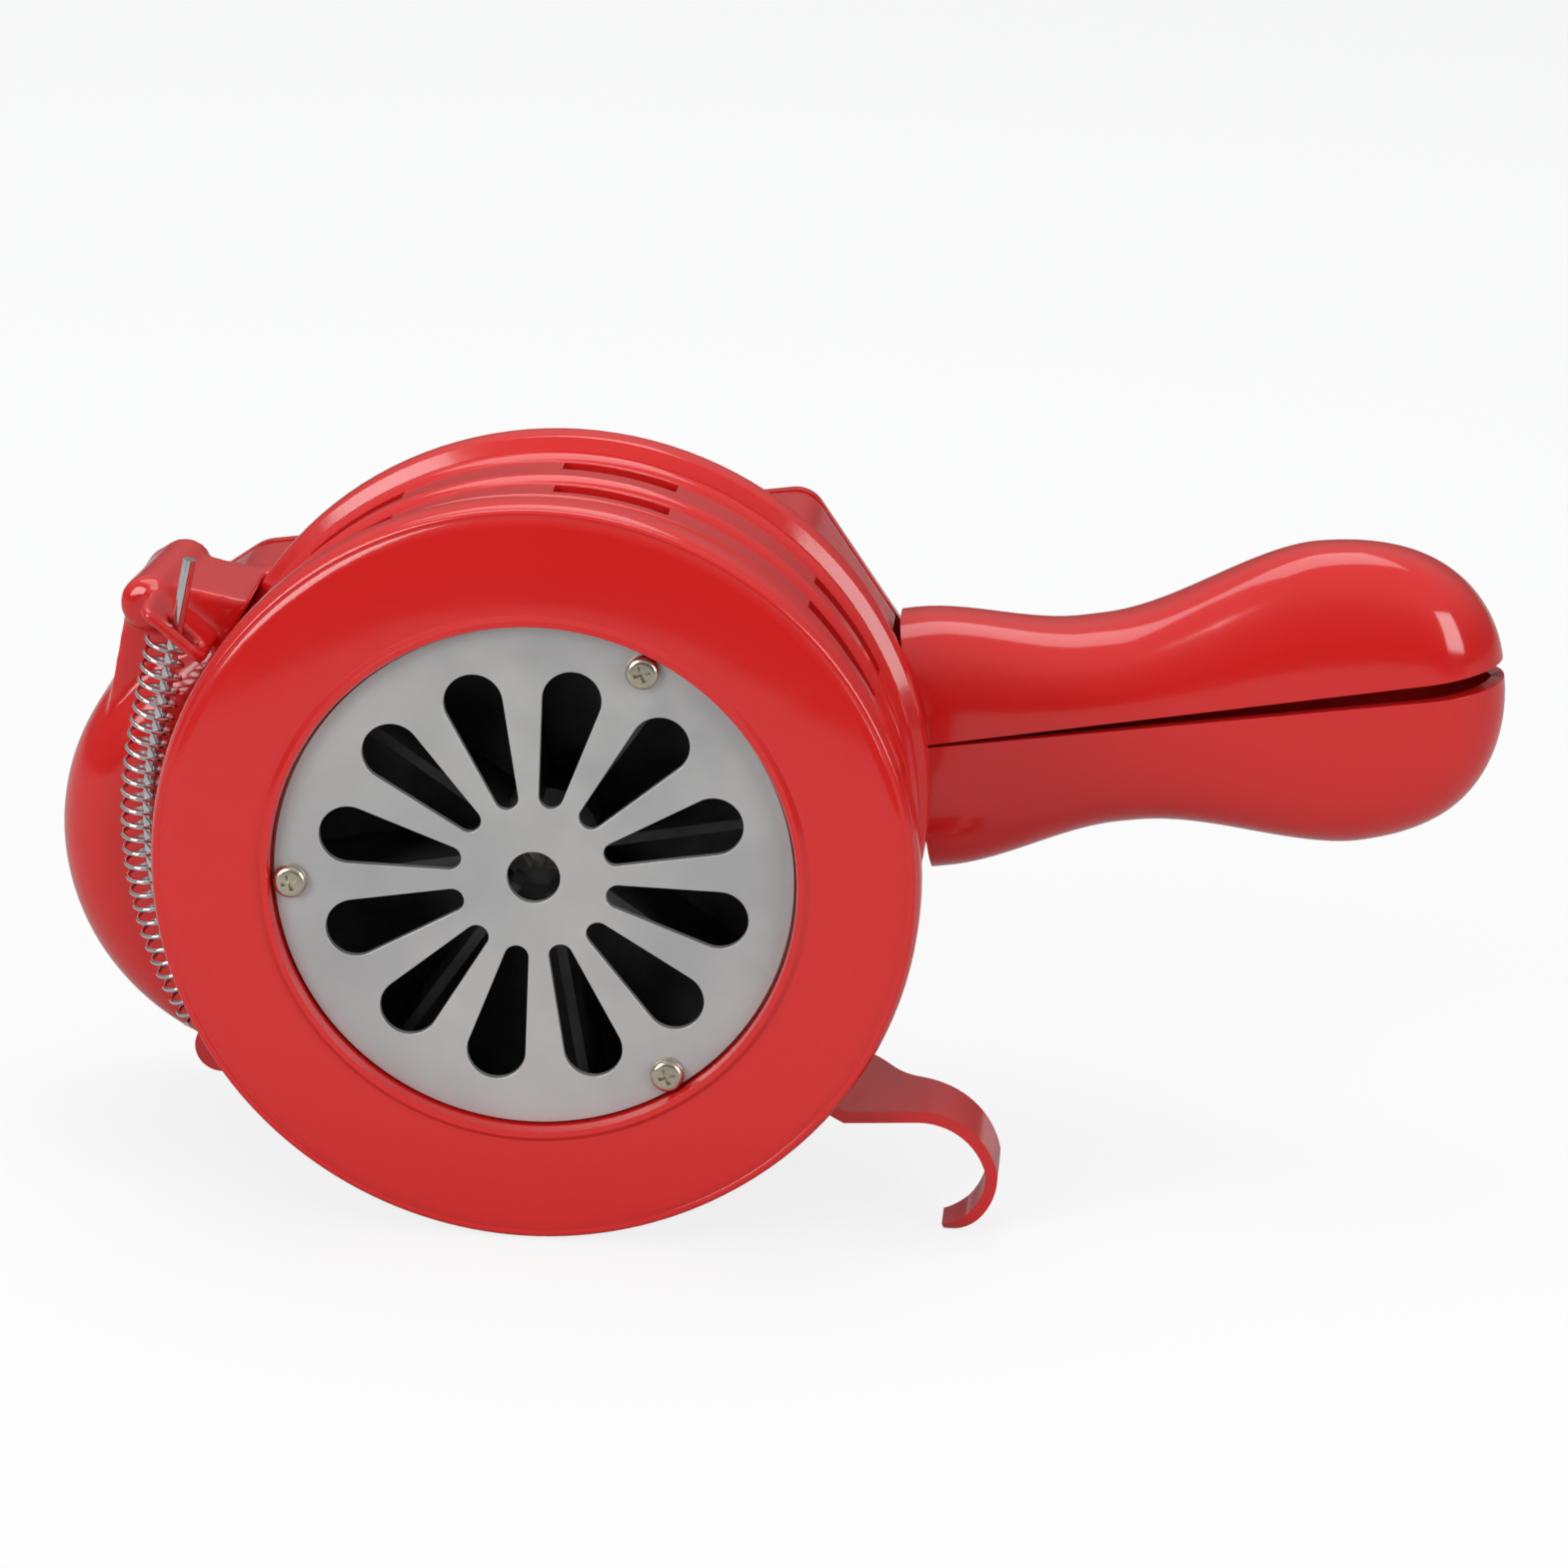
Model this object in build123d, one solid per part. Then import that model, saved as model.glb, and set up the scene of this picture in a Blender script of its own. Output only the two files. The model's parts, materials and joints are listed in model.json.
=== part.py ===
"""Hand crank siren: a slotted drum with a bladed rotor, a gear case behind it, a folding crank
whose grip closes against a fixed half handle, and a spring-returned shutter band under the drum.

Millimetres. X runs along the handle, Y from the grille to the back, Z up. The model is built
about the drum's axis, with Y = 0 on the front face of the grille plate, and is moved at the end
so that it stands on the floor at Z = 0.
"""
import math
import os

from build123d import *

# ---------------------------------------------------------------- driving dimensions
# Drum
FLANGE_R = 66.5            # front flange, the drum's largest radius
FLANGE_FRONT = -2.2        # flat annulus around the grille
FLANGE_THICK = 8.4
FLANGE_ROUND = 3.6
WALL_R = 62.9              # outside of the slotted wall
WALL_THICK = 2.1
RIDGE_HEIGHT = 1.0         # low ribs beside the port rows
RIDGE_WIDTH = 3.4
BEAD_Y = 12.3              # rib right behind the flange
BEAD_HEIGHT = 1.9
REAR_RIM_R = 65.4
REAR_RIM_THICK = 5.4
DRUM_BACK = 55.0           # back face of the drum
BACK_WALL_THICK = 3.5
PORT_ROWS = (23.0, 38.0)   # middles of the two rows of sound ports
PORT_WIDTH = 4.4
PORT_COUNT = 8
PORT_ARC = 18.5            # degrees
PORT_START = 72.0          # degrees, lower end of the first port
HUB_R = 11.5
HUB_LENGTH = 15.0

# Grille
GRILLE_R = 44.9
GRILLE_THICK = 1.5
GRILLE_CLEAR = 0.5
GRILLE_HOLE_R = 4.6
LIP_WIDTH = 2.2            # raised ring around the grille's recess
LIP_HEIGHT = 0.9
LEDGE_WIDTH = 6.2
PETAL_COUNT = 12
PETAL_TURN = 4.8           # degrees, turn of the petal pattern
PETAL_OUTER_AT = 32.6
PETAL_OUTER_R = 5.1
PETAL_INNER_AT = 14.9
PETAL_INNER_R = 2.1
GRILLE_SCREW_AT = 42.0
GRILLE_SCREW_ANGLES = (65.0, 184.0, 305.0)
SCREW_HEAD_R = 3.0
SCREW_HEAD_HEIGHT = 1.9
SCREW_SHANK_R = 1.5
SCREW_DEPTH = 6.0

# Rotor
ROTOR_GAP = 1.0            # between the rotor and the drum wall
ROTOR_WALL = 1.6
ROTOR_FRONT = 10.0
ROTOR_BACK = 43.0
ROTOR_DISC_Y = 36.0
ROTOR_DISC_THICK = 2.4
ROTOR_HUB_R = 9.0
ROTOR_HUB_FRONT = 22.0
BLADE_COUNT = 8
BLADE_THICK = 1.8
SHAFT_R = 3.0
RUN_CLEAR = 0.05           # radial clearance of every running fit
BEARING_R = 7.5
BEARING_WIDTH = 5.0
NUT_ACROSS = 9.0
NUT_THICK = 4.0

# Gear train
GEAR_X = -46.5             # crank axis, measured from the drum's axis
GEAR_Z = -9.0
MODULE_SLOW = 1.25
MODULE_FAST = 1.0
CRANK_TEETH = 60
PINION_TEETH = 12
IDLER_TEETH = 48
ROTOR_TEETH = 10
GEAR_THICK = 5.0
LAYER_GAP = 1.5
IDLER_SHAFT_R = 2.5

# Gear case
CASE_WALL = 2.6
CASE_ROOM = 1.9            # between the crank gear's tips and the case wall
CASE_FLOOR = 3.0
CASE_DEPTH = 21.0
CASE_NOSE_FRONT = 32.0     # foremost point of the rounded part beside the drum
CASE_NOSE_ROUND = 12.0
COVER_THICK = 3.0
BOSS_R = 5.5
BOSS_SCREW_R = 2.8
CASE_NECK = (-56.0, 27.5, 8.0)            # x, z and radius of the outline's corners
CASE_UPPER = (38.0, 45.0, BOSS_R)
CASE_LOWER = (36.0, -34.0, BOSS_R)
CASE_LEFT = (-34.0, -50.5, BOSS_R)
CASE_PAD = (52.0, 19.5, 9.0)              # seat of the fixed handle
CASE_PAD_LOW = (52.0, 8.0, 6.0)
COVER_BOSSES = ((35.0, 42.5), (33.0, -33.0), (-34.0, -51.0), (-18.0, 37.5))
LOBE_FRONT = (-73.2, 34.8)                # boss that carries the spring tab
LOBE_REAR = (-70.5, 34.6)
LOBE_R = 5.0
LOBE_ROUND = 2.6
LOBE_BACK = 61.0
WEB = (-62.0, 10.0, 19.0)                 # rounded web between the lobe and the nose
WEB_FRONT = 36.0
FOOT_LEFT = -30.0
FOOT_RIGHT = 14.0
FOOT_DEPTH = 16.0
CASE_SCREW_AT = 22.0
CASE_SCREW_SEAT = 1.8

# Handle
HANDLE_X = 62.0            # root of the two handle halves on the parting line
HANDLE_Z = 9.6
HANDLE_TILT = 10.5         # degrees, parting line of the fixed half
HANDLE_GAP_ANGLE = 1.6     # degrees, the gap that opens towards the tip
HANDLE_GAP = 0.5
HANDLE_LENGTH = 106.0
HANDLE_COLLAR = 23.4
HANDLE_COLLAR_LENGTH = 14.0
HANDLE_WAIST = 17.9
HANDLE_WAIST_AT = 31.0
HANDLE_CROWN = 24.0
HANDLE_CROWN_AT = 77.0
HANDLE_SHOULDER = 16.5
HANDLE_SHOULDER_AT = 96.0
GRIP_DEEPER = 1.3          # the folding half is deeper than the fixed one
HANDLE_WIDTH = 26.0
HANDLE_Y = 68.3            # middle of the handle, front to back
HANDLE_ROUND = 7.5
HANDLE_WALL = 2.4
TONGUE_LENGTH = 15.0
TONGUE_HEIGHT = 17.0
TONGUE_THICK = 14.0

# Crank
ARM_GAP = 4.2              # between the handle's back and the arm
ARM_THICK = 5.0
ARM_WIDTH = 20.0
ARM_END_WIDTH = 10.0
CRANK_SHAFT_R = 5.0
CRANK_NUT_ACROSS = 13.0
CRANK_NUT_THICK = 5.0
HINGE_AT = 5.0             # hinge pin, along the grip from its root
HINGE_DROP = 11.0          # middle of the hinge below the parting line
HINGE_PIN_R = 2.0
KNUCKLE_R = 4.5
KNUCKLE_HEIGHT = 12.0
EAR_THICK = 4.0
EAR_GAP = 0.3

# Shutter band with its hook, guide rod and spring
BAND_CLEAR = 0.4           # above the ribs of the drum
BAND_THICK = 2.0
BAND_FRONT = 14.6
BAND_BACK = 42.6
BAND_NARROW_BACK = 31.0    # back edge of the end beside the gear case
BAND_STEP = -81.0          # degrees, where the band gets narrower
BAND_START = -143.0        # degrees
BAND_END = -41.0           # degrees
BAND_TRAVEL = 19.2         # degrees
WINDOW_MARGIN = 0.3
GUIDES = ((-131.0, 23.0), (-75.0, 30.5))   # angle and depth of each guide screw
GUIDE_SHANK_R = 1.5
GUIDE_CLEAR = 0.3
GUIDE_HEAD_R = 3.0
GUIDE_HEAD = 1.2
HOOK_THICK = 2.1
HOOK_ROOT = (49.8, -42.6)
HOOK_CORNER = (54.6, -45.1)
HOOK_BEND_START = (67.5, -44.2)
HOOK_SHOULDER = (76.8, -47.6)
HOOK_SIDE = (80.7, -54.2)
HOOK_HEEL = (79.1, -60.8)
HOOK_TIP = (72.6, -65.6)
HOOK_FRONT = 11.5
HOOK_TIP_R = 4.6
ROD_R = 1.15
ROD_ARC_R = 71.0
ROD_Y = 25.0
ROD_BEND = 170.0           # degrees, where the rod leaves its arc
ROD_TOP = 46.0             # height of the free end above the drum's axis
LUG_ANGLE = -143.5
LUG_R = 4.8
LUG_WIDTH = 9.0
TAB_Z = 33.0               # height of the spring tab above the drum's axis
TAB_TILT = -39.0           # degrees, the plate falls towards the drum
TAB_LEFT = -7.4            # edges of the plate, measured from the rod
TAB_RIGHT = 7.2
TAB_FRONT = -5.0
TAB_BACK = 12.0
TAB_CORNER = 3.0
TAB_THICK = 2.0
TAB_SLOT = (-0.7, 3.6)     # middles of the slot's round ends
TAB_SLOT_R = ROD_R + 0.4
SPRING_WIRE_R = 0.42
SPRING_R = 3.5
SPRING_TURNS = 28
SPRING_OFFSET = 1.3        # the coil hangs outwards on the rod
SPRING_END_GAP = 0.3
SPRING_TAB_ROOM = 2.3      # along the rod, from the tab's middle to the end of the coil

# Middle of the whole model's box, which becomes X = 0 and Y = 0
MIDDLE_X = 38.88
MIDDLE_Y = 46.95

# ---------------------------------------------------------------- worked-out sizes
GRILLE_POCKET_R = GRILLE_R + GRILLE_CLEAR
LIP_R = GRILLE_POCKET_R + LIP_WIDTH
CAVITY_R = WALL_R - WALL_THICK
ROTOR_R = CAVITY_R - ROTOR_GAP
CASE_FRONT = DRUM_BACK
FAST_Y = CASE_FRONT + CASE_FLOOR + LAYER_GAP
SLOW_Y = FAST_Y + GEAR_THICK + LAYER_GAP
CASE_BACK = CASE_FRONT + CASE_DEPTH
COVER_BACK = CASE_BACK + COVER_THICK
CRANK_GEAR_TIP = MODULE_SLOW * (CRANK_TEETH / 2 + 0.9)
CASE_R = CRANK_GEAR_TIP + CASE_ROOM + CASE_WALL
FAST_CENTRES = MODULE_FAST * (IDLER_TEETH + ROTOR_TEETH) / 2
SLOW_CENTRES = MODULE_SLOW * (CRANK_TEETH + PINION_TEETH) / 2
IDLER_CASE_R = MODULE_FAST * (IDLER_TEETH / 2 + 0.9) + CASE_ROOM + CASE_WALL
HANDLE_FRONT = HANDLE_Y - HANDLE_WIDTH / 2
HANDLE_BACK = HANDLE_Y + HANDLE_WIDTH / 2
ARM_FRONT = HANDLE_BACK + ARM_GAP
ARM_BACK = ARM_FRONT + ARM_THICK
GRIP_TILT = HANDLE_TILT - HANDLE_GAP_ANGLE
HINGE_Y = (ARM_FRONT + ARM_BACK) / 2
BAND_R = WALL_R + RIDGE_HEIGHT + BAND_CLEAR
BAND_OUTER_R = BAND_R + BAND_THICK
FLOOR = -FLANGE_R


def polar(radius, degrees):
    """X and Z of a point at a radius and an angle from +X towards +Z."""
    turn = math.radians(degrees)
    return radius * math.cos(turn), radius * math.sin(turn)


def gear_axis_angles():
    """Directions between the three gear axes, and the idler's place below the drum's axis."""
    reach = math.hypot(GEAR_X, GEAR_Z)
    to_crank = math.degrees(math.atan2(GEAR_Z, GEAR_X))
    cosine = (reach**2 + FAST_CENTRES**2 - SLOW_CENTRES**2) / (2 * reach * FAST_CENTRES)
    to_idler = to_crank + math.degrees(math.acos(cosine))
    return to_idler, polar(FAST_CENTRES, to_idler)


IDLER_ANGLE, (IDLER_X, IDLER_Z) = gear_axis_angles()


# ---------------------------------------------------------------- helpers
def front_plane(depth):
    """A plane across the drum's axis whose sketch axes are X and Z."""
    return Plane(origin=(0, depth, 0), x_dir=(1, 0, 0), z_dir=(0, -1, 0))


def slab(sketch, front, back):
    """A sketch in X and Z made solid between two depths."""
    return extrude(front_plane(back) * sketch, amount=back - front)


def disc(radius, front, back, x=0.0, z=0.0):
    return slab(Pos(x, z) * Circle(radius), front, back)


def tube(outer, inner, front, back, x=0.0, z=0.0):
    return slab(Pos(x, z) * (Circle(outer) - Circle(inner)), front, back)


def turned(points):
    """A body turned about the drum's axis from (radius, depth) points."""
    return revolve(make_face(Polyline(*points, close=True)), axis=Axis.Y)


def ring_sector(inner, outer, front, back, start, end):
    """Part of a ring between two angles."""
    profile = Pos((inner + outer) / 2, (front + back) / 2) * Rectangle(outer - inner, back - front)
    sector = revolve(profile, axis=Axis.Y, revolution_arc=end - start)
    return Rot(0, -end, 0) * sector


def hull(*circles):
    """A sketch around (x, z, radius) circles."""
    edges = [edge for x, z, radius in circles for edge in (Pos(x, z) * Circle(radius)).edges()]
    return make_hull(edges)


def hexagon(across):
    return RegularPolygon(across / math.sqrt(3), 6)


# ---------------------------------------------------------------- drum
def rib(middle, height, width):
    """Profile points of a rounded rib on the drum wall."""
    steps = (-1.0, -0.6, 0.0, 0.6, 1.0)
    return [(WALL_R + height * (1 - abs(s) ** 2.2), middle + s * width / 2) for s in steps]


def drum_casting():
    back = FLANGE_FRONT + FLANGE_THICK
    ridge_ys = [sum(PORT_ROWS) / 2 - 2.0, PORT_ROWS[1] + PORT_WIDTH / 2 + 3.0]
    rim_front = DRUM_BACK - REAR_RIM_THICK
    lip_front = FLANGE_FRONT - LIP_HEIGHT
    edge = [(0.0, 1.0), (0.38, 0.92), (0.71, 0.71), (0.92, 0.38), (1.0, 0.0)]
    outer = [(GRILLE_POCKET_R, FLANGE_FRONT), (GRILLE_POCKET_R + 0.3, lip_front)]
    outer += [(LIP_R - 0.9, lip_front), (LIP_R, FLANGE_FRONT)]
    outer += [
        (FLANGE_R - FLANGE_ROUND * (1 - a), FLANGE_FRONT + FLANGE_ROUND * (1 - b))
        for a, b in edge
    ]
    outer += [(FLANGE_R, back - 1.6), (FLANGE_R - 0.9, back - 0.3), (WALL_R, back)]
    outer += rib(BEAD_Y, BEAD_HEIGHT, RIDGE_WIDTH)
    for middle in ridge_ys:
        outer += rib(middle, RIDGE_HEIGHT, RIDGE_WIDTH)
    outer += [(WALL_R, rim_front - 1.2), (REAR_RIM_R - 0.4, rim_front)]
    outer += [(REAR_RIM_R, rim_front + 0.8), (REAR_RIM_R, DRUM_BACK - 0.8)]
    outer += [(REAR_RIM_R - 0.8, DRUM_BACK), (BEARING_R, DRUM_BACK)]
    hub_front = DRUM_BACK - HUB_LENGTH
    wall_back = DRUM_BACK - BACK_WALL_THICK
    ledge_front = GRILLE_THICK
    ledge_back = ledge_front + CASE_WALL
    inner = [(BEARING_R, hub_front), (HUB_R, hub_front), (HUB_R + 0.8, wall_back)]
    inner += [(CAVITY_R, wall_back), (CAVITY_R, ledge_front), (LIP_R + 4, ledge_front)]
    inner += [(LIP_R + 1, ledge_back), (GRILLE_POCKET_R - LEDGE_WIDTH, ledge_back)]
    inner += [(GRILLE_POCKET_R - LEDGE_WIDTH, ledge_front), (GRILLE_POCKET_R, ledge_front)]
    drum = turned(outer + inner)
    for row in PORT_ROWS:
        for k in range(PORT_COUNT):
            start = PORT_START + k * 360 / PORT_COUNT
            drum -= ring_sector(
                CAVITY_R - 1, WALL_R + 2, row - PORT_WIDTH / 2, row + PORT_WIDTH / 2,
                start, start + PORT_ARC,
            )
    for angle in GRILLE_SCREW_ANGLES:
        x, z = polar(GRILLE_SCREW_AT, angle)
        drum += disc(SCREW_SHANK_R * 2, ledge_front, SCREW_DEPTH + 1, x, z)
        drum -= disc(SCREW_SHANK_R, ledge_front - 1, SCREW_DEPTH, x, z)
    for angle, depth in GUIDES:
        drum -= guide_pin(angle, depth, GUIDE_SHANK_R, CAVITY_R - 1, BAND_R)
    for x, z in case_screw_places():
        drum -= disc(SCREW_SHANK_R, DRUM_BACK - BACK_WALL_THICK - 1, DRUM_BACK + 1, x, z)
    return drum


def guide_pin(angle, depth, radius, inner, outer):
    """A round pin that stands on the drum wall, pointing outwards."""
    x, z = polar(inner, angle)
    dx, dz = polar(1.0, angle)
    seat = Plane(origin=(x, depth, z), z_dir=(dx, 0, dz))
    return extrude(seat * Circle(radius), amount=outer - inner)


def petal():
    """One tapered slot of the grille, pointing along +X of the sketch."""
    return hull((PETAL_INNER_AT, 0, PETAL_INNER_R), (PETAL_OUTER_AT, 0, PETAL_OUTER_R))


def grille_plate():
    plate = Circle(GRILLE_R) - Circle(GRILLE_HOLE_R)
    for k in range(PETAL_COUNT):
        turn = PETAL_TURN + (k + 0.5) * 360 / PETAL_COUNT
        plate -= Rot(0, 0, turn) * petal()
    for angle in GRILLE_SCREW_ANGLES:
        plate -= Pos(*polar(GRILLE_SCREW_AT, angle)) * Circle(SCREW_SHANK_R + 0.2)
    return slab(plate, 0, GRILLE_THICK)


def pan_screw(x, z, seat, depth, head_r, head_height, shank_r):
    """A pan head screw whose head faces the front and sits at the seat depth."""
    head = disc(head_r, seat - head_height, seat, x, z)
    crown = head.edges().sort_by(Axis.Y)[0]
    head = fillet(crown, head_height * 0.6)
    cross = Rectangle(head_r, 0.7) + Rectangle(0.7, head_r)
    head -= slab(Pos(x, z) * Rot(0, 0, 20) * cross, seat - head_height - 1, seat - head_height * 0.5)
    return head + disc(shank_r, seat, seat + depth, x, z)


def grille_screws():
    return [
        pan_screw(*polar(GRILLE_SCREW_AT, angle), 0, SCREW_DEPTH, SCREW_HEAD_R,
                  SCREW_HEAD_HEIGHT, SCREW_SHANK_R)
        for angle in GRILLE_SCREW_ANGLES
    ]


# ---------------------------------------------------------------- rotor
def rotor():
    shell = tube(ROTOR_R, ROTOR_R - ROTOR_WALL, ROTOR_FRONT + 5, ROTOR_BACK)
    for row in PORT_ROWS:
        for k in range(PORT_COUNT):
            start = PORT_START + (k + 0.5) * 360 / PORT_COUNT
            shell -= ring_sector(
                ROTOR_R - ROTOR_WALL - 1, ROTOR_R + 1, row - PORT_WIDTH / 2 - 0.6,
                row + PORT_WIDTH / 2 + 0.6, start, start + PORT_ARC,
            )
    disc_back = ROTOR_DISC_Y + ROTOR_DISC_THICK / 2
    body = shell + disc(ROTOR_R - ROTOR_WALL / 2, disc_back - ROTOR_DISC_THICK, disc_back)
    body += disc(ROTOR_HUB_R, ROTOR_HUB_FRONT, disc_back)
    length = ROTOR_R - ROTOR_WALL / 2 - ROTOR_HUB_R + 1
    for k in range(BLADE_COUNT):
        blade = Pos(ROTOR_HUB_R - 1 + length / 2, 0) * Rectangle(length, BLADE_THICK)
        turn = (k + 0.25) * 360 / BLADE_COUNT
        body += slab(Rot(0, 0, turn) * blade, ROTOR_FRONT + 5, ROTOR_DISC_Y)
    return body - disc(SHAFT_R, ROTOR_HUB_FRONT - 1, disc_back + 1)


def rotor_shaft():
    """A stepped shaft: rotor seat, bearing seats and pinion seat in one diameter."""
    nut_room = NUT_THICK + 1.5
    return disc(SHAFT_R, ROTOR_HUB_FRONT - nut_room, FAST_Y + GEAR_THICK)


def rotor_nut():
    nut = hexagon(NUT_ACROSS) - Circle(SHAFT_R)
    return slab(nut, ROTOR_HUB_FRONT - NUT_THICK, ROTOR_HUB_FRONT)


def bearing(front):
    """A shielded ball bearing shown as rings with a recessed shield."""
    outer = tube(BEARING_R, SHAFT_R + RUN_CLEAR, front, front + BEARING_WIDTH)
    groove = tube(BEARING_R - 1.3, SHAFT_R + 1.6, front - 1, front + 0.4)
    return outer - groove


def spacer():
    """Tube between the rotor and the front bearing's inner ring."""
    front = ROTOR_DISC_Y + ROTOR_DISC_THICK / 2
    return tube(SHAFT_R + 1.5, SHAFT_R, front, DRUM_BACK - HUB_LENGTH + 0.5 - RUN_CLEAR)


# ---------------------------------------------------------------- gear train
def gear(teeth, module, thick, front, x, z, bore, phase):
    """A spur gear with straight-flanked teeth, one tooth centred on the phase angle."""
    pitch_r = teeth * module / 2
    tip_r = pitch_r + 0.9 * module
    root_r = pitch_r - 1.2 * module
    tooth = 360 / teeth
    points = []
    for k in range(teeth):
        middle = phase + k * tooth
        for radius, share in ((root_r, -0.31), (tip_r, -0.11), (tip_r, 0.11), (root_r, 0.31)):
            points.append(polar(radius, middle + share * tooth))
    outline = make_face(Polyline(*points, close=True)) - Circle(bore)
    return slab(Pos(x, z) * outline, front, front + thick)


def rotor_pinion():
    phase = IDLER_ANGLE + 180 / ROTOR_TEETH
    return gear(ROTOR_TEETH, MODULE_FAST, GEAR_THICK, FAST_Y, 0, 0, SHAFT_R, phase)


def idler_gear():
    phase = IDLER_ANGLE + 180
    return gear(IDLER_TEETH, MODULE_FAST, GEAR_THICK - 1, FAST_Y + 0.5, IDLER_X, IDLER_Z,
                IDLER_SHAFT_R + 1.5, phase)


def idler_pinion():
    """Small gear and its long hub, which carries the large idler gear."""
    to_crank = math.degrees(math.atan2(GEAR_Z - IDLER_Z, GEAR_X - IDLER_X))
    pinion = gear(PINION_TEETH, MODULE_SLOW, GEAR_THICK + 1, SLOW_Y - 0.5, IDLER_X, IDLER_Z,
                  IDLER_SHAFT_R + RUN_CLEAR, to_crank)
    hub = tube(IDLER_SHAFT_R + 1.5, IDLER_SHAFT_R + RUN_CLEAR, FAST_Y + 0.5, SLOW_Y - 0.5,
               IDLER_X, IDLER_Z)
    return pinion + hub


def idler_pin():
    return disc(IDLER_SHAFT_R, CASE_FRONT + 0.8, CASE_BACK, IDLER_X, IDLER_Z)


def crank_gear():
    to_idler = math.degrees(math.atan2(IDLER_Z - GEAR_Z, IDLER_X - GEAR_X))
    phase = to_idler + 180 / CRANK_TEETH
    wheel = gear(CRANK_TEETH, MODULE_SLOW, GEAR_THICK, SLOW_Y, GEAR_X, GEAR_Z, CRANK_SHAFT_R, phase)
    for k in range(5):
        x, z = polar(CRANK_GEAR_TIP * 0.56, k * 72)
        wheel -= disc(7.5, SLOW_Y - 1, SLOW_Y + GEAR_THICK + 1, GEAR_X + x, GEAR_Z + z)
    return wheel


def crank_shaft():
    """Shaft with a flange that holds the crank gear, and a threaded end for the arm's nut."""
    front = CASE_FRONT + 1.3
    end = ARM_BACK + CRANK_NUT_THICK + 1.5
    body = disc(CRANK_SHAFT_R, front, end, GEAR_X, GEAR_Z)
    return body + disc(CRANK_SHAFT_R + 3, CASE_FRONT + 7.3, SLOW_Y, GEAR_X, GEAR_Z)


def crank_bush():
    """Plain bush pressed into the cover's boss."""
    return tube(CRANK_SHAFT_R + 2, CRANK_SHAFT_R + RUN_CLEAR, SLOW_Y + GEAR_THICK + 0.3,
                COVER_BACK + 2,
                GEAR_X, GEAR_Z)


# ---------------------------------------------------------------- gear case
def case_outline(margin):
    """Outline of the gear case, grown or shrunk by a margin."""
    corners = [(GEAR_X, GEAR_Z, CASE_R), (IDLER_X, IDLER_Z, IDLER_CASE_R)]
    corners += [CASE_NECK, CASE_UPPER, CASE_LOWER, CASE_LEFT, CASE_PAD, CASE_PAD_LOW]
    outline = hull(*[(x, z, radius + margin) for x, z, radius in corners])
    beyond_root = Pos(50 + margin, 0) * Rectangle(100, 140)
    return outline - Pos(HANDLE_X, HANDLE_Z) * Rot(0, 0, HANDLE_TILT) * beyond_root


def lobe():
    """Round boss beside the drum's rim, and the web that joins it to the nose."""
    boss = loft([
        front_plane(CASE_NOSE_FRONT) * Pos(*LOBE_FRONT) * Circle(LOBE_R),
        front_plane(LOBE_BACK) * Pos(*LOBE_REAR) * Circle(LOBE_R),
    ])
    boss = fillet(boss.edges().sort_by(Axis.Y)[0], LOBE_ROUND)
    web = hull((*LOBE_FRONT, LOBE_R - 1.2), WEB, CASE_NECK)
    return boss + slab(web, WEB_FRONT, CASE_FRONT + CASE_FLOOR)


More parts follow.
